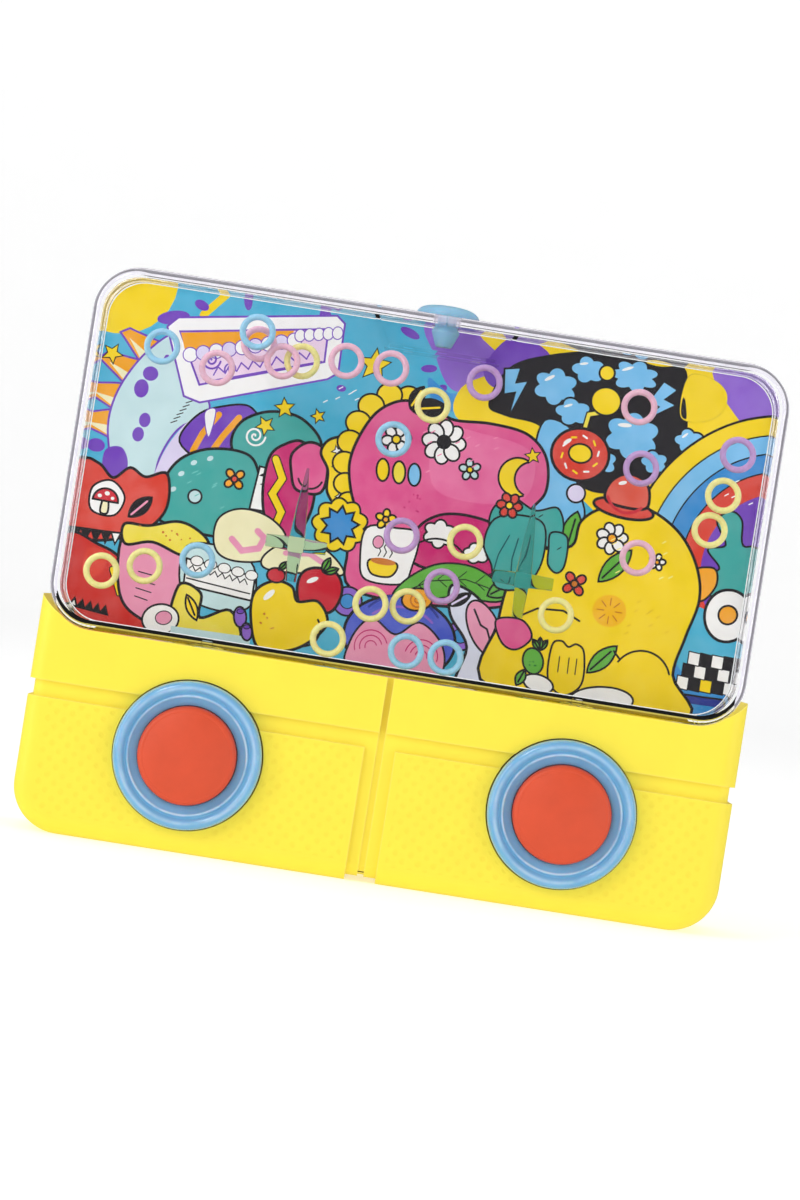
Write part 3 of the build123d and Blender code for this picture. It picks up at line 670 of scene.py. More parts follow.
def painted_sky(art):
    """The blue ground, the corner sun and the spots that drift over the sky."""
    art.fill([(-80, 35), (80, 35), (80, 125), (-80, 125)], SKY)
    art.fill(oval(-67.5, 114.5, 11.5, 11.5), YELLOW)
    art.line([(-50, 109.5), (-44.5, 116)], 1.6, YELLOW)
    for x, z, rx, rz, turn in (
        (-56, 108, 3.4, 1.4, 15), (-50.6, 111.4, 1.6, 1, -20), (-41.3, 114, 0.9, 2.2, 10),
        (-7.2, 112.4, 2.2, 0.9, -20), (-2.2, 105.8, 1.7, 0.8, 10), (-25, 113.2, 1.2, 1.6, 30),
        (-67.6, 79.6, 1.8, 1.4, 0), (0.9, 101.9, 1.4, 0.9, 40), (-19.5, 99, 1, 0.7, 0),
    ):
        art.fill(oval(x, z, rx, rz, turn, 20), PURPLE)


def painted_corner(art):
    """Upper right: a purple and yellow sweep, blue clouds and flashes on one heavy shadow."""
    art.fill(smooth([(-3, 116), (-1, 108), (4, 102), (12, 107), (24, 116)]), VIOLET)
    art.fill(smooth([(-2, 104), (3, 101.5), (9, 103), (7, 98), (0, 99)]), SEA)
    art.fill(
        smooth([(10, 117), (13, 109), (5, 103), (6, 96), (24, 92), (40, 80), (75, 70), (75, 117)]), YELLOW,
    )
    art.fill(smooth([(14, 115), (22, 112.5), (19, 107.5), (12, 104), (9, 108)]), PURPLE)
    art.fill(smooth([(56, 115), (72, 115), (72, 100), (63, 105)]), VIOLET)
    shadow = [
        (11, 100.5), (14, 108.5), (22, 112.5), (34, 115), (44, 113.6), (50, 114), (51.4, 108),
        (52.5, 100), (50, 92.5), (42, 87.2), (34, 86.2), (27, 91), (22.5, 97.5), (15, 98.6),
    ]
    art.fill(smooth(shadow), BLACK)
    hill(art, [(23, 99), (30, 97), (31.5, 88), (34, 80), (24, 78), (22, 88)], LIGHT_SKY, THIN)
    bolt(art, 16.4, 104.2, 4.6, 12, LIGHT_SKY)
    bolt(art, 46.4, 105.6, 4.6, -24, LIGHT_SKY)
    for x, z, rx, rz, lobes, turn in (
        (24.2, 106.2, 4.2, 3.5, 6, 20), (30.4, 110.6, 3.2, 2.6, 5, 0), (40, 110.8, 4.6, 3, 7, 10),
        (41.4, 98.6, 5.2, 4.4, 6, -10), (36, 92.4, 3, 2.4, 5, 0), (28.6, 101.6, 3.4, 2.6, 5, 10),
        (46.8, 94, 2.6, 2.2, 5, 0), (53.2, 99.4, 2.8, 2.3, 5, 30),
    ):
        cloud(art, x, z, rx, rz, LIGHT_SKY, lobes=lobes, width=THIN)
        shine(art, x - rx * 0.35, z + rz * 0.45, rx * 0.28, rz * 0.1, turn + 15)
    art.line([(31.5, 98.6), (31.9, 101.6), (35, 102.6)], 1.3, BLACK)
    art.line([(31.5, 98.6), (31.9, 101.6), (35, 102.6)], 0.75, PALE_YELLOW)
    art.shape(oval(35, 104.8, 3.1, 2.9), YELLOW, THIN)
    art.shape(oval(34.3, 110.6, 1.6, 1.6, count=20), YELLOW, THIN)
    doughnut(art, 31.4, 93.2, 6, CORAL, YELLOW)
    for i in range(10):
        ink = WHITE if i % 2 == 0 else YELLOW
        art.line(placed([(3.6, -0.4), (3.9, 0.5)], 31.4, 93.2, 36 * i + 10), 0.4, ink)
    art.shape(oval(31.8, 85.2, 1.9, 1.9, count=20), LILAC, THIN)


def painted_rainbow(art):
    """A rainbow that rises behind the yellow hill to the right edge."""
    centre = (77, 75)
    for radius, colour in ((33.4, BLACK), (32.9, YELLOW), (29.4, BLACK), (29.1, LIGHT_SKY), (25.7, BLACK),
                           (25.4, SEA), (21.9, BLACK), (21.6, CORAL), (17.4, PURPLE)):
        art.fill(oval(*centre, radius, radius, count=96), colour)
    hill(art, [
        (61.5, 84), (64, 86.5), (66.5, 85), (67.5, 80), (72, 79), (72, 60), (64, 63), (62.5, 69),
        (60, 72.5), (63.5, 74.5), (60.5, 78), (64, 79.5),
    ], TEAL, THIN)
    hill(art, [(57.6, 73), (62.4, 74.4), (63.4, 71), (61, 67.4), (58, 68.4)], ORANGE, THIN)
    art.fill([(56, 66), (75, 62), (75, 40), (56, 40)], SEA)
    art.fill(smooth([(56, 60), (60, 66), (66, 64), (75, 66), (75, 53), (60, 52)]), SKY)
    doughnut(art, 66.6, 65.2, 4.7, WHITE, ORANGE, squash=1.15)
    for row in range(3):
        for i in range(5):
            x, z = 58.4 + 2.4 * i + 0.8 * row, 49 + 2.6 * row
            ink = YELLOW if (i, row) == (2, 0) else (WHITE if (i + row) % 2 == 0 else BLACK)
            art.shape([(x, z), (x + 2.4, z - 0.2), (x + 2.4, z + 2.4), (x, z + 2.6)], ink, 0.24)
    art.fill([(56, 48), (72, 48), (72, 46.2), (56, 46.2)], NAVY)
    art.line([(57, 47.9), (72, 47.9)], THIN)


def painted_left(art):
    """Left: a spotted crescent hill, a slab of iced cake, teal hills and red rocks."""
    for x, z, turn in ((-62, 101.6, 150), (-65.2, 96.6, 160), (-67.2, 90.6, 172), (-68, 84.6, 180)):
        outline = placed([(-2.8, -2.9), (3.6, -1.2), (4.6, 0.6), (-2.6, 3)], x, z, turn)
        art.shape(outline, ORANGE, THIN, PURPLE)
        art.fill(placed([(-2.6, 0.6), (2.4, 0.4), (-2.4, 2.5)], x, z, turn), CREAM)
    crescent = [
        (-55.2, 104.6), (-60.2, 100.4), (-64.2, 93.6), (-65.9, 86.4), (-65, 79.6), (-62, 72),
        (-55.4, 70.8), (-54.4, 79), (-51.4, 85.6), (-45.8, 90), (-48, 94.6), (-52.6, 99),
    ]
    art.shape(smooth(crescent), ICE, THIN, PURPLE)
    art.fill(
        smooth([(-55, 71), (-54, 79.4), (-50.6, 86.2), (-46.6, 89.6), (-40.6, 90.4), (-46, 80), (-50, 71)]),
        LILAC,
    )
    for x, z, rx, rz in (
        (-58.9, 95.9, 1.6, 1.5), (-60.3, 92.6, 1.5, 1.9), (-58.6, 86.3, 1.2, 1.5),
        (-59.5, 83.2, 1.2, 1.5), (-56, 99.4, 0.7, 0.9),
    ):
        art.fill(oval(x, z, rx, rz, 0, 20), PURPLE)
    art.fill(smooth([(-65.6, 79), (-62.4, 80), (-60.6, 76.6), (-62, 72.6), (-65.4, 74.6)]), PURPLE)
    for i in range(6):
        art.line([(-53.2 + 0.5 * i, 86.6 + 0.9 * i), (-52 + 0.5 * i, 87.2 + 0.9 * i)], 0.22)

    slab = [
        (-57, 106), (-55, 108.2), (-22.6, 113.6), (-20.8, 112.2), (-20.6, 102), (-22.6, 100.4),
        (-48, 91.6), (-51.4, 92.4),
    ]
    art.shape(slab, WHITE, THIN, PURPLE)
    art.shape([(-54.2, 105.4), (-24, 110.6), (-23.8, 103.8), (-48.6, 95.2)], (240, 214, 234), THIN, PURPLE)
    art.fill([(-54, 105.2), (-31, 109.2), (-31.6, 105.4), (-52.2, 100.6)], ORANGE)
    for i in range(9):
        x, z = -51.4 + 2.6 * i, 101 + 0.78 * i
        art.shape(oval(x, z, 1.5, 1.5, 0, 18), WHITE if i % 2 == 0 else LILAC, 0.22, PURPLE)
    for i in range(5):
        x, z = -29.6 + 1.9 * i, 108.4 + 0.42 * i
        art.shape(oval(x, z, 1.1, 1.3, 0, 16), WHITE, 0.22, PURPLE)
    art.line(zigzag((-46, 97.6), (-25.2, 104.6), 1.5, 9), 0.3, PURPLE)
    art.line([(-47.4, 96), (-24.4, 103.8)], 0.3, PURPLE)
    swirl(art, -47, 100.6, 2, 2, PURPLE, 0.4)
    swirl(art, -42.6, 99.4, 1.4, 1.6, PURPLE, 0.35)

    hill(art, [
        (-50.8, 83), (-48.2, 88.8), (-43.6, 91.4), (-37.6, 92.4), (-34.6, 88), (-38.4, 82), (-44, 79.4),
    ], PURPLE, THIN)
    for dx in (0, 4.2):
        art.line([(-47.8 + dx, 81.6 + dx / 4), (-46.4 + dx, 85.4), (-43.6 + dx, 89.8)], 1.3, ORANGE)
    art.shape(smooth([(-46.6, 89.6), (-44.4, 90.6), (-45, 84.8)]), WHITE, 0.22, PURPLE)
    art.line(arc(-32.6, 91, 6.4, 200, 345), 0.75, BLACK)
    art.line(arc(-32.6, 91, 6.4, 200, 345), 0.4, WHITE)

    hill(art, [
        (-39.9, 83.4), (-39, 88.8), (-33.4, 92), (-26.6, 91.6), (-21.6, 86.6), (-24, 79), (-34, 78),
    ], TEAL)
    hill(art, [
        (-52.8, 66.6), (-53, 73.6), (-50.2, 79.4), (-44, 82.6), (-36, 82.4), (-32.6, 76.6), (-29.6, 69),
        (-37, 65),
    ], TEAL)
    for x, z in ((-49.4, 76.6), (-47.2, 79.2), (-44, 80.6), (-50.6, 73.2)):
        art.fill(oval(x, z, 0.7, 0.5, 35, 14), ICE)
    blossom(art, -38.4, 77.2, 2.3, ORANGE, CORAL, 4, 45)
    art.shape(oval(-45.9, 72.4, 1.4, 1.4, 0, 20), ICE, THIN)
    swirl(art, -35.6, 86.6, 2.2, 2, WHITE, 0.4)
    art.shape(zigzag((-33.6, 80.6), (-31.2, 71.6), 2.4, 5) + [(-34.4, 71.6)], WHITE, THIN)

    hill(art, [
        (-32, 82.6), (-29, 86), (-25.4, 86.8), (-22.4, 82.2), (-21.6, 74), (-24, 68), (-29, 67),
        (-32, 74),
    ], MAGENTA)
    art.line([(-30.6, 82.6), (-28.6, 78.8), (-30.2, 75.4), (-27.8, 72), (-28.6, 69)], 1.9, BLACK)
    art.line([(-30.6, 82.6), (-28.6, 78.8), (-30.2, 75.4), (-27.8, 72), (-28.6, 69)], 1.4, YELLOW)
    hill(art, [
        (-27.4, 84.2), (-24.4, 87), (-21, 86), (-19.6, 81), (-20.6, 77), (-25.4, 77), (-27, 80.4),
    ], PINK)
    art.line(arc(-22.9, 80.2, 2.6, 200, 340, 12), THIN)
    ribbon = [
        (-21.6, 85.4), (-20, 88.4), (-15.8, 89), (-15, 83.4), (-13.6, 76.8), (-15.8, 74.4), (-19, 77.4),
        (-19.6, 82),
    ]
    hill(art, ribbon, YELLOW)
    for x, z in ((-18.4, 86.2), (-17.8, 83.2), (-17, 80.2), (-16.2, 77.2)):
        art.shape(star(x, z, 1.15, 4, 0.4, 20), WHITE, 0.24)
    for i, (x, z, radius) in enumerate((
        (-13.4, 104.8, 3.5), (-30.4, 93.2, 2.2), (-23.3, 92.6, 1.6), (-33.8, 89, 2.1), (-67.2, 98.8, 2.2),
    )):
        art.shape(star(x, z, radius, turn=12 * i), YELLOW, 0.24)

    hill(art, [
        (-70, 75.4), (-66.4, 76), (-63.2, 73.6), (-60, 76.2), (-56.6, 74.8), (-52.2, 76), (-51.6, 68.2),
        (-58, 62.2), (-70, 61),
    ], CORAL)
    hill(art, [(-66.6, 66.4), (-67, 71), (-63.4, 73), (-60.2, 70), (-61.8, 66)], WHITE, THIN)
    mushroom(art, -64, 68.6, 2.6, RED, WHITE)
    leaf(art, -58.8, 66.2, 6.2, 1.5, 48, BLACK, ROSE)
    art.shape(zigzag((-70, 62.2), (-59.8, 62.6), -2.4, 5), WHITE, THIN)
    hill(art, [(-71, 60), (-64, 59.6), (-58.4, 57), (-52, 50), (-50, 43), (-71, 42)], (210, 70, 66))
    art.fill(smooth([(-66, 58.4), (-62.2, 58), (-62.6, 53.8), (-66.2, 53)]), CORAL)
    flame = [(-60.4, 55), (-58.2, 50.4), (-55.4, 50.2), (-53, 47.8), (-50.8, 48.4)]
    art.line(flame, 1.5, BLACK)
    art.line(flame, 1, YELLOW)
    art.line([(x + 1.6, z + 2.4) for x, z in flame[:-1]], 0.9, ORANGE)
    art.shape(zigzag((-68, 46.4), (-60, 45.6), 1.6, 5), WHITE, THIN)


def painted_bottom_left(art):
    """Lower left: a banana on a pink pillar, a picket fence, a yellow pear hill and a cream shell."""
    hill(art, [(-59.2, 62.4), (-58.6, 51.6), (-54.6, 46.6), (-47, 46), (-46, 61), (-52, 63)], ROSE)
    for i in range(4):
        art.line([(-55, 55.4 - 1.7 * i), (-50.8 - 0.5 * i, 54.9 - 1.7 * i)], 0.24)
    banana = [
        (-59.4, 64.6), (-54.4, 65), (-48, 66.8), (-42.6, 64.6), (-41.4, 61.4), (-46.4, 60), (-53, 61.8),
        (-58.6, 60.6),
    ]
    hill(art, banana, PALE_YELLOW)
    scattered(art, 3, 9, (-56.5, -45.5), (62.6, 65), (0.16, 0.3), BROWN)
    hill(art, [(-46, 62), (-38, 63), (-31.6, 60), (-31, 52), (-38, 50), (-45.6, 53)], ICE, THIN)
    art.shape([(-45.6, 59.6), (-31, 58), (-31, 53), (-45.4, 54.2)], WHITE, THIN)
    art.line(zigzag((-45, 57.4), (-32.4, 56.2), 1, 8), 0.24)
    art.line([(-45, 55.6), (-31.6, 54.4)], 0.3)
    for i in range(5):
        art.shape(oval(-43.4 + 2.9 * i, 59.4 - 0.3 * i, 1.3, 1, 0, 16), WHITE, 0.22)
    hill(art, [(-46.4, 53.8), (-41.6, 53), (-41, 48), (-35, 50.4), (-32.6, 44), (-46, 43)], PALE_YELLOW)
    leaf(art, -44.4, 52.2, 5.6, 1.1, -60, YELLOW)
    art.shape(oval(-49, 46.4, 3.8, 3.1, 15), WHITE, THIN)
    art.shape(oval(-48.4, 46.8, 1.7, 1.4, 15, 20), ROSE, 0.22)
    art.fill([(-46.6, 45.4), (-30, 45.6), (-30, 43), (-46.6, 43)], ICE)

    hill(art, [
        (-40.8, 64.6), (-40.2, 69), (-36, 71.4), (-30.2, 70.6), (-26, 67), (-28.6, 62.2), (-34.6, 60.6),
        (-39, 61.4),
    ], CREAM, THIN)
    art.line([(-37, 65), (-34.6, 62.9), (-31.2, 63.9), (-30.4, 66.2), (-32, 67.4)], 1.3, ROSE)
    hill(art, [
        (-29.8, 62.8), (-24.6, 66.6), (-17.6, 65.8), (-13, 61.4), (-20, 60.4), (-29, 60),
    ], CREAM, THIN)
    art.line([(-25.6, 63.8), (-20.6, 64.4), (-16.8, 62.6)], 1.1, ROSE)
    hill(art, [
        (-21.6, 60.2), (-18.8, 61.8), (-14.4, 61.2), (-12.8, 57.6), (-14.6, 53.2), (-20, 53), (-22, 56.4),
    ], RED)
    leaf(art, -17.4, 61.2, 3.2, 0.8, 70, GREEN)
    leaf(art, -17, 61, 3, 0.7, 25, GREEN)
    shine(art, -19.2, 59.2, 1.3, 0.5, 30)
    pear = [
        (-30.6, 49.6), (-30.6, 55), (-27, 57.8), (-23.2, 57.2), (-21.6, 54.4), (-17.4, 55), (-14.8, 51.2),
        (-17.2, 47.2), (-21.6, 44.2), (-28, 43.6),
    ]
    hill(art, pear, YELLOW)
    shine(art, -27.6, 54.8, 1.5, 0.6, 50)
    art.line(arc(-19.6, 49, 3.6, -80, 40, 12), THIN)
    scattered(art, 8, 6, (-28.6, -25.6), (47.6, 52.6), (0.15, 0.26), BROWN)
    art.shape(oval(-26.8, 59, 1.9, 1.5, 0, 20), RED, THIN)
    leaf(art, -26.4, 60.2, 2.4, 0.6, 50, GREEN)
    for x, z, size in ((-32.8, 49.4, 2.1), (-31, 46.6, 1.8)):
        art.shape(oval(x, z, size * 0.62, size, 12, 24), VIOLET, THIN)
        art.shape(oval(x - 0.1, z + size * 0.55, size * 0.36, size * 0.24, 12, 14), PURPLE, 0.2)


def painted_middle(art):
    """Middle: a big pink hill with a scalloped yellow edge, a bowl, a striped ball and an egg."""
    for x, z, r in (
        (-5.4, 99.4, 2.4), (-9.4, 99.2, 2.6), (-12.8, 96.4, 2.7), (-14.9, 92.6, 2.6), (-16, 88.4, 2.6),
        (-16.4, 84, 2.5), (-15.6, 79.8, 2.4), (-14.4, 76.2, 2.2),
    ):
        art.shape(oval(x, z, r, r * 0.92, 0, 24), YELLOW, THIN)
    hill(art, [
        (-15.4, 84.6), (-14, 90.6), (-11, 95.8), (-6, 98.6), (0.4, 97.8), (4.6, 96.2), (12.4, 96.6),
        (20, 95.6), (24.6, 91.4), (25.6, 84.6), (22.6, 79.4), (20, 70), (21, 60), (-9, 58), (-13, 66),
        (-12, 72.6), (-14.4, 79),
    ], PINK)
    art.fill(
        smooth([(1.6, 93.8), (12, 94.2), (20.6, 92.6), (22.8, 87.6), (20.6, 82), (10, 80), (2, 82.6)]),
        (236, 122, 168),
    )
    for x, ink in ((-8.4, YELLOW), (-5, PALE_YELLOW), (-1.8, LIGHT_SKY)):
        art.shape(oval(x, 83.8, 1.3, 2.3, 8, 24), ink, THIN)
    blossom(art, -6.6, 90.4, 3, WHITE, YELLOW, 6, 15)
    blossom(art, 3.2, 91.4, 4.4, WHITE, BLACK, 8, 0)
    blossom(art, 9.4, 86.6, 2.2, ICE, YELLOW, 5, 30)
    leaf(art, -4.6, 97, 7.4, 1.9, 12, BLACK, YELLOW)
    leaf(art, -4.8, 97.2, 5.2, 1.4, 66, BLACK, YELLOW)
    art.shape(arc(19.4, 86.6, 4, 66, 294, 28) + arc(22.4, 86.6, 3.6, 248, 112, 20), YELLOW, THIN)
    art.shape(star(21.8, 91.4, 1.7, turn=15), YELLOW, 0.24)
    scattered(art, 5, 8, (-2.8, 0.4), (76, 80), (0.16, 0.24), MAGENTA)
    hill(art, [(0.6, 66), (0.4, 72.6), (4.6, 76.4), (11, 77.2), (17.6, 75.4), (20, 69), (14, 65)], MAGENTA)
    cloud(art, 5.2, 72.6, 3, 2.6, WHITE, lobes=6, width=THIN)
    cloud(art, 13.4, 69.8, 2.4, 1.9, WHITE, lobes=5, width=THIN)
    art.line(arc(5.6, 64.6, 7, 40, 130, 14), THIN)

    art.shape(lobed(-15.4, 71.2, 5.4, 5.2, 9, 0.16), YELLOW, THIN)
    art.shape(star(-15.4, 71.2, 4, 9, 0.66), SEA, THIN)
    hill(art, [
        (-9.8, 71.6), (-4, 72.4), (1, 71.8), (0.6, 64.6), (-1, 61.2), (-8.4, 61), (-10.2, 65.2),
    ], WHITE, THIN)
    blossom(art, -6.2, 73.8, 2.1, YELLOW, ORANGE, 5, 18)
    hill(art, [(-8.2, 65.2), (-2.6, 65.2), (-3.4, 62.4), (-7.4, 62.4)], YELLOW, THIN)
    art.fill(oval(-5.4, 65.2, 2.6, 0.7, 0, 20), BROWN)
    for dx in (-1, 0.2, 1.4):
        art.line([(-5.6 + dx, 66.2), (-5.2 + dx, 67.2), (-5.8 + dx, 68.2), (-5.4 + dx, 69)], 0.24)
    art.shape(oval(-7, 69, 1.1, 1.3, 0, 16), ROSE, 0.22)

    hill(art, [
        (-2.4, 58.6), (0.6, 63), (6.4, 66.6), (14, 66.8), (20.6, 63), (19, 60.6), (9.6, 60.2),
        (1.6, 57.4),
    ], GREEN, THIN)
    art.line([(-1.2, 59.2), (5, 62.8), (12, 64.2), (18.8, 62.8)], 0.24)
    for x, z in ((2.6, 61.6), (6.4, 63.4), (10.4, 64.1), (14.2, 63.9)):
        art.line([(x, z), (x + 1.6, z + 1.7)], 0.2)
        art.line([(x, z), (x + 2, z - 1.3)], 0.2)
    leaf(art, 17, 61.6, 6.4, 1.7, 35, GREEN)

    for x, z, r in ((-11.4, 56, 3), (12.8, 52.6, 3)):
        art.shape(oval(x, z, r, r, 0, 24), VIOLET, THIN)
        art.shape(oval(x, z, r * 0.5, r * 0.5, 0, 18), SEA, 0.22)
    art.shape(oval(0.4, 50.2, 11.6, 8.6, 0, 44), (90, 104, 206))
    hill(art, [
        (-9.6, 48), (-6, 53.4), (-0.6, 50.8), (4, 54), (9, 50.6), (10.4, 45.6), (8, 42), (-8.4, 42),
    ], ROSE, THIN)
    for i in range(3):
        art.line(arc(-5.2, 47.6, 1.2 + 1.1 * i, 20, 200, 14), 0.26, MAGENTA)
        art.line(arc(5.4, 47.2, 1.2 + 1.1 * i, -10, 170, 14), 0.26, MAGENTA)
    art.line(arc(0.4, 49.6, 9.4, 40, 140, 20), 0.5, NAVY)
    art.line(arc(0.4, 47, 9.6, 50, 130, 20), 0.5, VIOLET)
    art.shape(oval(2.8, 58.6, 3.2, 2.3, 14, 24), ORANGE, THIN)
    swirl(art, 2.8, 58.6, 1.8, 2, BROWN, 0.35)
    hill(art, [
        (9.4, 62.6), (15, 61), (20, 55.6), (24.6, 51.4), (27.4, 45), (25, 41), (13.6, 42), (14.4, 50.6),
        (10, 56.6),
    ], (226, 228, 246))
    art.shape(oval(17.4, 54.8, 3.1, 6.2, 32, 32), ROSE, THIN)
    art.line([(14.8, 58.4), (16.6, 55.4), (18, 54.8), (19.8, 50.8)], THIN)
    leaf(art, 9.6, 58.4, 5, 1, 38, BLACK, LILAC)
    scattered(art, 12, 7, (20.5, 25), (44.6, 49), (0.2, 0.4), VIOLET)


def painted_right(art):
    """Right: a big yellow hill with leaves, a coral mushroom and a teal cactus beside it."""
    leaf(art, 31.6, 73.6, 8, 1.9, 82, GREEN)
    hill(art, [
        (20.6, 43), (20, 56.4), (21.4, 66.4), (26, 72.4), (32.6, 74.4), (33.8, 79.8), (38.6, 83.4),
        (46.4, 84.4), (53.8, 80.8), (58.6, 74.6), (60.4, 67.6), (58.8, 59.6), (57.4, 51.4), (60.4, 43),
    ], YELLOW)
    hill(art, [(19.6, 57), (24.8, 57.8), (27.4, 54.6), (24.6, 51.6), (21.4, 52.6)], PINK, THIN)
    art.fill(oval(42.4, 62.4, 3.5, 3.3), (248, 190, 52))
    for i in range(8):
        art.line(placed([(1.2, 0), (2.6, 0)], 42.4, 62.4, 45 * i), 0.24, BROWN)
    art.line([(23.4, 58), (27.6, 60.6), (33, 61), (36.6, 59.4)], THIN)
    leaf(art, 39.2, 68, 9.4, 1.9, 52, GREEN)
    leaf(art, 39.8, 49.2, 8.2, 1.7, 50, GREEN)
    art.line(arc(51, 49.4, 6, 20, 150, 18), THIN)
    art.line([(46, 53), (44.6, 54.4)], THIN)
    blossom(art, 34.4, 66.8, 2.6, CORAL, BROWN, 4, 40)
    blossom(art, 40.6, 77.2, 3.2, WHITE, ORANGE, 7, 10)
    blossom(art, 50.6, 73.8, 1.7, WHITE, ORANGE, 5, 10)
    hill(art, [
        (31.8, 53.6), (33.6, 54.8), (35.2, 53.8), (36.8, 54.6), (38.6, 53), (39, 46.6), (35.4, 43.8),
        (32, 46.8),
    ], YELLOW, THIN)
    for x in (33.8, 35.8, 37.4):
        art.line([(x, 48.4), (x - 0.1, 51.6)], 0.24)
    art.shape(oval(43.6, 44, 6.6, 2.8, 8, 30), WHITE, THIN)
    art.shape(oval(30.2, 45.4, 3.2, 1.8, -10, 24), WHITE, THIN)
    art.shape(oval(28.4, 49.8, 2.1, 2.7, 20, 24), GREEN, THIN)
    for turn in (60, 95, 130):
        leaf(art, 29.4, 52.2, 2.6, 0.6, turn, GREEN)
    leaf(art, 27, 47.8, 3.6, 1, -110, GREEN)
    scattered(art, 31, 5, (27.6, 29.6), (48.6, 51.2), (0.14, 0.22), (44, 110, 52))

    art.shape(oval(42, 83.6, 6.3, 1.9, -4, 30), CORAL)
    hill(art, [
        (38.4, 84.6), (38.4, 88.4), (41.6, 90.8), (45.6, 89.8), (47, 86.4), (45.8, 84),
    ], (226, 104, 90))
    art.line(arc(42.4, 87, 4.2, 200, 320, 12), 0.6, RED)
    shine(art, 41, 88.8, 0.9, 0.4, 20)

    hill(art, [
        (16, 75), (15.4, 79.6), (19.2, 82.2), (24, 80.4), (28.6, 81.6), (30.4, 77), (27.8, 73.4),
        (24.6, 75.4),
    ], TEAL, THIN)
    hill(art, [
        (14.6, 72), (16, 77.4), (21.4, 79), (26.4, 77.6), (27, 70), (24, 64.4), (18.6, 63.6), (16.8, 68),
    ], TEAL, THIN)
    hill(art, [(28, 76.4), (31.4, 76), (31.8, 70.4), (30.4, 68.4), (28.4, 69.8), (28, 73)], TEAL, THIN)
    blossom(art, 18.6, 80.6, 2.6, CORAL, YELLOW, 6, 0)
    for x, z, turn in ((17.4, 66.4, 75), (21.2, 65.8, 88), (25.2, 66.6, 102)):
        art.line(placed([(0, 0), (4, 0.5), (8.4, 0)], x, z, turn), 0.3, (32, 92, 96))
    for x, z in ((19.4, 66.4), (22.6, 66), (25, 79.2), (29.8, 73.2)):
        art.line([(x, z), (x + 0.7, z + 0.6)], 0.22)


def screened(art):
    """Fine printed texture marks: little dashes and dots over the larger plain areas."""
    draw = random.Random(41)
    patches = (
        (-28, -14, 94, 101, WHITE, 7), (40, 56, 69, 78, (255, 240, 150), 10),
        (46, 56, 57, 66, (226, 184, 30), 9), (-2, 16, 84, 94, (244, 150, 186), 12),
        (-50, -40, 68, 78, (120, 200, 194), 8), (62, 70, 88, 96, WHITE, 4),
    )
    for x_low, x_high, z_low, z_high, colour, count in patches:
        for _ in range(count):
            x, z = draw.uniform(x_low, x_high), draw.uniform(z_low, z_high)
            art.line([(x, z), (x + 0.7, z + 0.5)], 0.22, colour)


def backdrop():
    """The picture sheet behind the tank, which stands for its CAD node."""
    art = Picture()
    painted_sky(art)
    painted_corner(art)
    painted_rainbow(art)
    painted_left(art)
    painted_middle(art)
    painted_right(art)
    painted_bottom_left(art)
    screened(art)
    low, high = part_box("backdrop_print")
    corner = 7.4
    half, base, top = high.x / MM, low.z / MM, high.z / MM
    border = []
    for x, z, start in ((half, top, 0), (-half, top, 90), (-half, base, 180), (half, base, 270)):
        x -= math.copysign(corner, x)
        z -= corner if z == top else -corner
        border += arc(x, z, corner, start, start + 90, 12)
    contact = 0.02 * MM
    mesh = art.sheet(border, low.y - contact, high.y)
    sides = [printed_ink(), paper_back()]
    piece = shown("backdrop_picture", mesh, sides, smooth_shading=False)
    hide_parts("backdrop_print")


# ---- pieces in mesh code ----
def shown(name, mesh, materials, body=CASING, smooth_shading=True):
    """Turns a bmesh into a visible piece that rides on a body."""
    data = bpy.data.meshes.new(name)
    mesh.to_mesh(data)
    mesh.free()
    for material in materials:
        data.materials.append(material)
    if smooth_shading:
        data.polygons.foreach_set("use_smooth", [True] * len(data.polygons))
    piece = bpy.data.objects.new(name, data)
    bpy.context.scene.collection.objects.link(piece)
    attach(piece, body)
    return piece


def lathed(profile, place, steps=72):
    """A mesh turned about an axis. The profile is (radius, distance along), and place maps to 3-D."""
    mesh = bmesh.new()
    loops = []
    for radius, along in profile:
        if radius < 1e-7:
            loops.append([mesh.verts.new(place(0.0, 0.0, along))])
            continue
        angles = [2 * math.pi * i / steps for i in range(steps)]
        spots = [place(radius * math.cos(angle), radius * math.sin(angle), along) for angle in angles]
        loops.append([mesh.verts.new(spot) for spot in spots])
    for lower, upper in zip(loops, loops[1:]):
        for i in range(steps):
            j = (i + 1) % steps
            corners = []
            near = [lower[i % len(lower)], lower[j % len(lower)]]
            far = [upper[j % len(upper)], upper[i % len(upper)]]
            for vert in near + far:
                if vert not in corners:
                    corners.append(vert)
            if len(corners) > 2:
                mesh.faces.new(corners)
    bmesh.ops.recalc_face_normals(mesh, faces=mesh.faces)
    return mesh


RING_STEPS = 72
SECTION_STEPS = 24


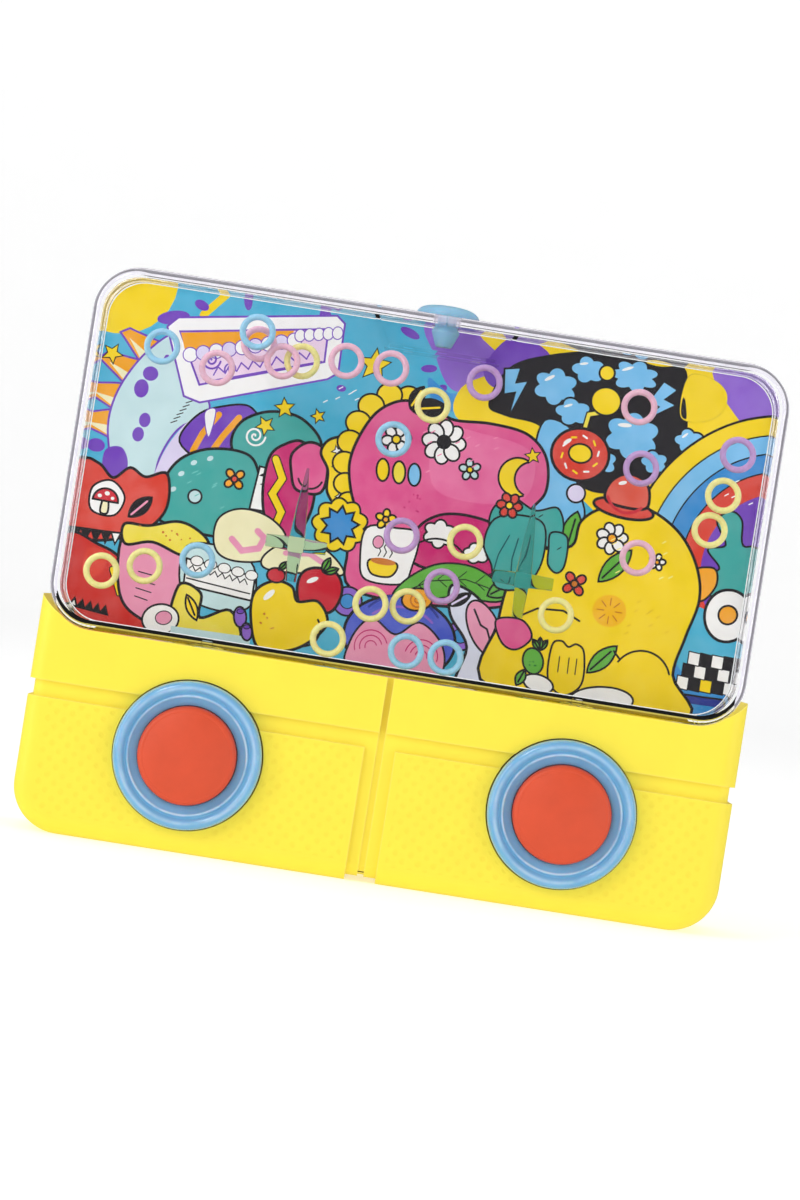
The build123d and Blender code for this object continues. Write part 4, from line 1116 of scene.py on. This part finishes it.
def loose_rings():
    """Every loose ring as a fine hoop, tilted a little as it drifts."""
    inks = {
        "blue": ring_plastic("ring_blue_plastic", linear(150, 205, 232)),
        "pink": ring_plastic("ring_pink_plastic", linear(232, 184, 204)),
        "yellow": ring_plastic("ring_yellow_plastic", linear(240, 232, 150)),
        "purple": ring_plastic("ring_purple_plastic", linear(190, 152, 206)),
    }
    draw = random.Random(7)
    for node in sorted(name for name in NODES if name.startswith("ring_")):
        colour = node.split("_")[1]
        low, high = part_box(node)
        section = (high.y - low.y) / 2
        pitch = (high.x - low.x) / 2 - section
        body = NODES[node]["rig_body"]
        afloat = body == CASING
        tilt = Matrix.Rotation(math.radians(draw.uniform(-1.2, 1.2)) * afloat, 4, "X")
        tilt @= Matrix.Rotation(math.radians(draw.uniform(-1.2, 1.2)) * afloat, 4, "Z")
        mesh = bmesh.new()
        loops = []
        for i in range(RING_STEPS):
            turn = 2 * math.pi * i / RING_STEPS
            loop = []
            for k in range(SECTION_STEPS):
                round_angle = 2 * math.pi * k / SECTION_STEPS
                reach = pitch + section * math.cos(round_angle)
                y = section * math.sin(round_angle)
                point = Vector((reach * math.cos(turn), y, reach * math.sin(turn)))
                loop.append(mesh.verts.new(tilt @ point + (low + high) / 2))
            loops.append(loop)
        for i in range(RING_STEPS):
            for k in range(SECTION_STEPS):
                here, after = loops[i], loops[(i + 1) % RING_STEPS]
                m = (k + 1) % SECTION_STEPS
                mesh.faces.new((here[k], here[m], after[m], after[k]))
        bmesh.ops.recalc_face_normals(mesh, faces=mesh.faces)
        piece = shown("loose_" + node, mesh, [inks[colour]], body)
        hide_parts(node)


def bellows(material):
    """Rubber concertinas behind the buttons, built at rest length; on the toy they shorten as the buttons go
    in.
    """
    skin, folds = 0.9 * MM, 7
    for side in ("left", "right"):
        node = "pump_bellows_" + side
        low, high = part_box(node)
        centre = (low + high) / 2
        rim = (high.x - low.x) / 2
        crest, valley = rim - 1.0 * MM, rim - 3.0 * MM
        rim_front = high.y - 1.2 * MM
        pitch = (rim_front - low.y - skin) / folds
        outside = [(0, low.y), (valley - 0.6 * MM, low.y), (valley, low.y + 0.4 * MM)]
        inside = []
        for i in range(4 * folds - 3):
            wave = 0.5 - 0.5 * math.cos(math.pi * (i + 4) / 4)
            radius = valley + (crest - valley) * wave
            along = low.y + skin + pitch * (i / 4 + 0.5)
            outside.append((radius, along))
            inside.append((radius - skin, along))
        outside += [(crest, rim_front), (rim, rim_front), (rim, high.y), (crest - skin, high.y)]
        profile = outside + inside[::-1] + [(0, low.y + skin)]
        mesh = lathed(profile, lambda u, v, along, c=centre: (c.x + u, along, c.z + v))
        piece = shown("bellows_" + side, mesh, [material])
        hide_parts(node)
        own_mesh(piece)


def bezels(material):
    """The button collars: a round rim, a fine bead, and a shallow dish down to the cap."""
    section = [
        (10.1, 3.4), (10.1, 1.8), (10.16, 1.7), (10.3, 1.6), (10.8, 1.42), (11.3, 1.22), (11.65, 1.04),
        (11.8, 0.9), (11.92, 0.78), (12.05, 0.72), (12.18, 0.75), (12.3, 0.86), (12.42, 0.99),
        (12.55, 1.03), (12.66, 0.98), (12.78, 0.84), (12.92, 0.58), (13.1, 0.33), (13.35, 0.12),
        (13.6, 0.03), (13.85, 0.01), (14.1, 0.06), (14.35, 0.18), (14.6, 0.37), (14.8, 0.62),
        (14.95, 0.9), (15.05, 1.2), (15.1, 1.5), (15.1, 3.9),
    ]
    for side in ("left", "right"):
        low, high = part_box("bezel_" + side)
        centre = (low + high) / 2
        profile = [(radius * MM, low.y + depth * MM) for radius, depth in section]
        mesh = lathed(profile, lambda u, v, along, c=centre: (c.x + u, along, c.z + v), 144)
        piece = shown("collar_" + side, mesh, [material])
        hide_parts("bezel_" + side)


def stopper(material):
    """The filler plug: a soft domed head with a rolled lip, a neck and a barb."""
    low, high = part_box("filler_plug")
    centre = (low + high) / 2
    head = (high.x - low.x) / 2
    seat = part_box("tank_shell")[1].z
    rise = high.z - seat
    profile = [(0, low.z), (1.5 * MM, low.z), (1.7 * MM, low.z + 0.2 * MM)]
    profile += [
        (2.85 * MM, low.z + 3.0 * MM), (2.9 * MM, low.z + 3.2 * MM), (2.35 * MM, low.z + 4.0 * MM),
        (2.35 * MM, seat), (head - 0.25 * MM, seat), (head - 0.05 * MM, seat + 0.1 * MM),
    ]
    for i in range(25):
        angle = math.pi / 2 * i / 24
        reach = head * math.cos(angle) ** 0.62
        profile.append((reach, seat + 0.3 * MM + (rise - 0.3 * MM) * math.sin(angle) ** 0.9))
    profile[-1] = (0, high.z)
    mesh = lathed(profile, lambda u, v, along: (centre.x + u, centre.y + v, along))
    piece = shown("plug", mesh, [material], body="plug")
    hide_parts("filler_plug")


DRY_IOR = 1.46
WET_IOR = 1.1
RIM_IOR = 1.2
PEG_IN_WATER = 1.2
AIR_IN_WATER = 1.06


def tank_walls():
    """The clear shell and back plate: dry, wetted, rim and seated faces each have their own material."""
    tint = (0.99, 0.998, 1.0, 1.0)
    dry = clear_plastic("tank_plastic", tint, DRY_IOR, 0.03 * MM)
    wet = clear_plastic("tank_plastic_wetted", tint, WET_IOR, 0.02 * MM)
    rim = hazy_rim("tank_plastic_rim", RIM_IOR)
    seated = seated_edge()
    low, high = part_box("tank_shell")
    plate_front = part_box("tank_back")[0].y
    wall, corner, floor = 1.9 * MM, 9.5 * MM, 2.2 * MM
    centre = (low + high) / 2
    reach = Vector(((high.x - low.x) / 2 - corner, 0, (high.z - low.z) / 2 - corner))
    for node in ("tank_shell", "tank_back"):
        mesh = bmesh.new()
        mesh.from_mesh(NODES[node].data)
        bmesh.ops.remove_doubles(mesh, verts=mesh.verts, dist=1e-7)
        for face in mesh.faces:
            spot = face.calc_center_median()
            over_x = max(abs(spot.x - centre.x) - reach.x, 0)
            over_z = max(abs(spot.z - centre.z) - reach.z, 0)
            past = Vector((over_x, over_z))
            deep = corner - past.length > wall
            wetted = deep and low.y + wall < spot.y < plate_front + 0.01 * MM
            outer = past.length > corner - wall and abs(face.normal.y) < 0.995
            face.material_index = 1 if wetted else (2 if outer else 0)
            if spot.z < low.z + floor and (face.normal.y > 0.9 or face.normal.z < -0.9):
                face.material_index = 3
        for edge in mesh.edges:
            edge.smooth = edge.calc_face_angle(math.pi) < math.radians(28)
        piece = shown("clear_" + node, mesh, [dry, wet, rim, seated])
        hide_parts(node)


def air_bubble():
    """A flat bubble of air against the front wall, near the top right corner."""
    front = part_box("tank_shell")[0].y + 2.1 * MM
    outline = smooth([
        (49.6, 103.4), (54.4, 103.0), (58.0, 105.6), (58.2, 109.4), (55.0, 111.8), (50.0, 111.6),
    ], 10)
    centre = Vector((54.0, 107.4))
    depth, steps = 0.6 * MM, 10
    mesh = bmesh.new()
    loops = []
    for step in range(1, steps):
        angle = math.pi * step / steps
        reach = math.sin(angle) ** 0.4
        y = front + depth * (1 - math.cos(angle))
        spots = [centre + (Vector(spot) - centre) * reach for spot in outline]
        loops.append([mesh.verts.new((spot.x * MM, y, spot.y * MM)) for spot in spots])
    for lower, upper in zip(loops, loops[1:]):
        for i, vert in enumerate(lower):
            j = (i + 1) % len(lower)
            mesh.faces.new((vert, lower[j], upper[j], upper[i]))
    mesh.faces.new(loops[0])
    mesh.faces.new(loops[-1])
    bmesh.ops.recalc_face_normals(mesh, faces=mesh.faces)
    air = clear_plastic("trapped_air", (1.0, 1.0, 1.0, 1.0), AIR_IN_WATER, 0.01 * MM)
    shown("air_bubble", mesh, [air])


# ---- room, lights and camera ----
FLOOR_GLOW = 0.42
FLOOR_FLAT = 2.2
FLOOR_BEND = 1.6
FLOOR_TOP = 2.4
DAYLIGHT = 0.34
LAMPS = (
    # name, place, size in metres, power in watts
    ("key", (-0.55, -0.75, 0.85), (0.3, 0.3), 2.2),
    ("left_strip", (-1.05, -0.5, 0.3), (0.16, 0.9), 3.2),
    ("right_strip", (1.05, -0.6, 0.2), (0.14, 0.8), 2.0),
    ("top", (0.0, 0.25, 1.2), (0.9, 0.6), 2.2),
)
AIM = (0, 0, 0.06)
LENS = 89.2
EYE = (-0.7 * MM, -0.612, 57.8 * MM)
ROLL = 8.95


def pale_floor():
    """A wide pale sweep: flat under the game, curving up far away on every side."""
    profile = [(0, 0.0), (0.4, 0.0), (1.2, 0.0), (FLOOR_FLAT, 0.0)]
    for i in range(1, 25):
        angle = math.pi / 2 * i / 24
        out = FLOOR_FLAT + FLOOR_BEND * math.sin(angle)
        profile.append((out, FLOOR_BEND - FLOOR_BEND * math.cos(angle)))
    profile.append((FLOOR_FLAT + FLOOR_BEND, FLOOR_TOP))
    mesh = lathed(profile, lambda u, v, along: (u, v, along), 96)
    data = bpy.data.meshes.new("floor")
    mesh.to_mesh(data)
    mesh.free()
    data.polygons.foreach_set("use_smooth", [True] * len(data.polygons))
    shader = Shader("floor_paper", Roughness=0.9, Emission_Color=(1, 1, 1, 1), Emission_Strength=FLOOR_GLOW)
    grain = shader.noise(0.05, detail=6)
    shader.link(shader.blend(grain, (0.86, 0.86, 0.86, 1), (0.9, 0.9, 0.9, 1)), "Base Color")
    data.materials.append(shader.material)
    floor = bpy.data.objects.new("floor", data)
    bpy.context.scene.collection.objects.link(floor)
    floor.visible_glossy = False


def soft_light(name, place, size, power):
    data = bpy.data.lights.new(name, "AREA")
    data.shape = "RECTANGLE"
    data.size, data.size_y = size
    data.energy = power
    lamp = bpy.data.objects.new(name, data)
    lamp.location = place
    way = Vector(AIM) - Vector(place)
    lamp.rotation_euler = way.to_track_quat("-Z", "Y").to_euler()
    bpy.context.scene.collection.objects.link(lamp)


def studio():
    world = bpy.data.worlds.new("studio")
    world.use_nodes = True
    background = world.node_tree.nodes["Background"]
    background.inputs["Color"].default_value = (1.0, 1.0, 1.0, 1.0)
    background.inputs["Strength"].default_value = DAYLIGHT
    bpy.context.scene.world = world
    for lamp in LAMPS:
        soft_light(*lamp)
    bpy.context.scene.view_settings.view_transform = "Standard"


def camera():
    """Straight on, from arm's length, with the game rolled a little clockwise in the frame."""
    data = bpy.data.cameras.new("camera")
    data.lens = LENS
    data.sensor_width = 36.0
    eye = bpy.data.objects.new("camera", data)
    roll = math.radians(ROLL)
    right = Vector((math.cos(roll), 0, math.sin(roll)))
    up = Vector((-math.sin(roll), 0, math.cos(roll)))
    eye.matrix_world = Matrix((right, up, right.cross(up))).transposed().to_4x4()
    eye.location = EYE
    bpy.context.scene.collection.objects.link(eye)
    bpy.context.scene.camera = eye


def dressed(material, *names):
    """Gives CAD nodes a material in place of their plain one."""
    for name in names:
        slots = NODES[name].data.materials
        if not slots:
            slots.append(material)
        for i in range(len(slots)):
            slots[i] = material


dressed(housing_plastic(), "front_housing", "rear_housing")
dressed(plated_steel(), "housing_screws")
dressed(
    clear_plastic("peg_plastic", (0.52, 0.76, 0.72, 1.0), PEG_IN_WATER, 0.02 * MM), "peg_left", "peg_right",
)
tank_walls()
air_bubble()
bezels(collar_plastic())
dressed(moulded_plastic("button_plastic", linear(220, 76, 38), 0.45), "button_left", "button_right")
dressed(
    moulded_plastic("pump_plastic", linear(232, 232, 228), 0.4), "pump_chamber_left", "pump_chamber_right",
)
dressed(rubber("seal_rubber", linear(48, 48, 50)), "duct_seal_left", "duct_seal_right")
backdrop()
loose_rings()
bellows(rubber("bellows_rubber", linear(120, 122, 124)))
stopper(soft_vinyl())
pale_floor()
studio()
camera()
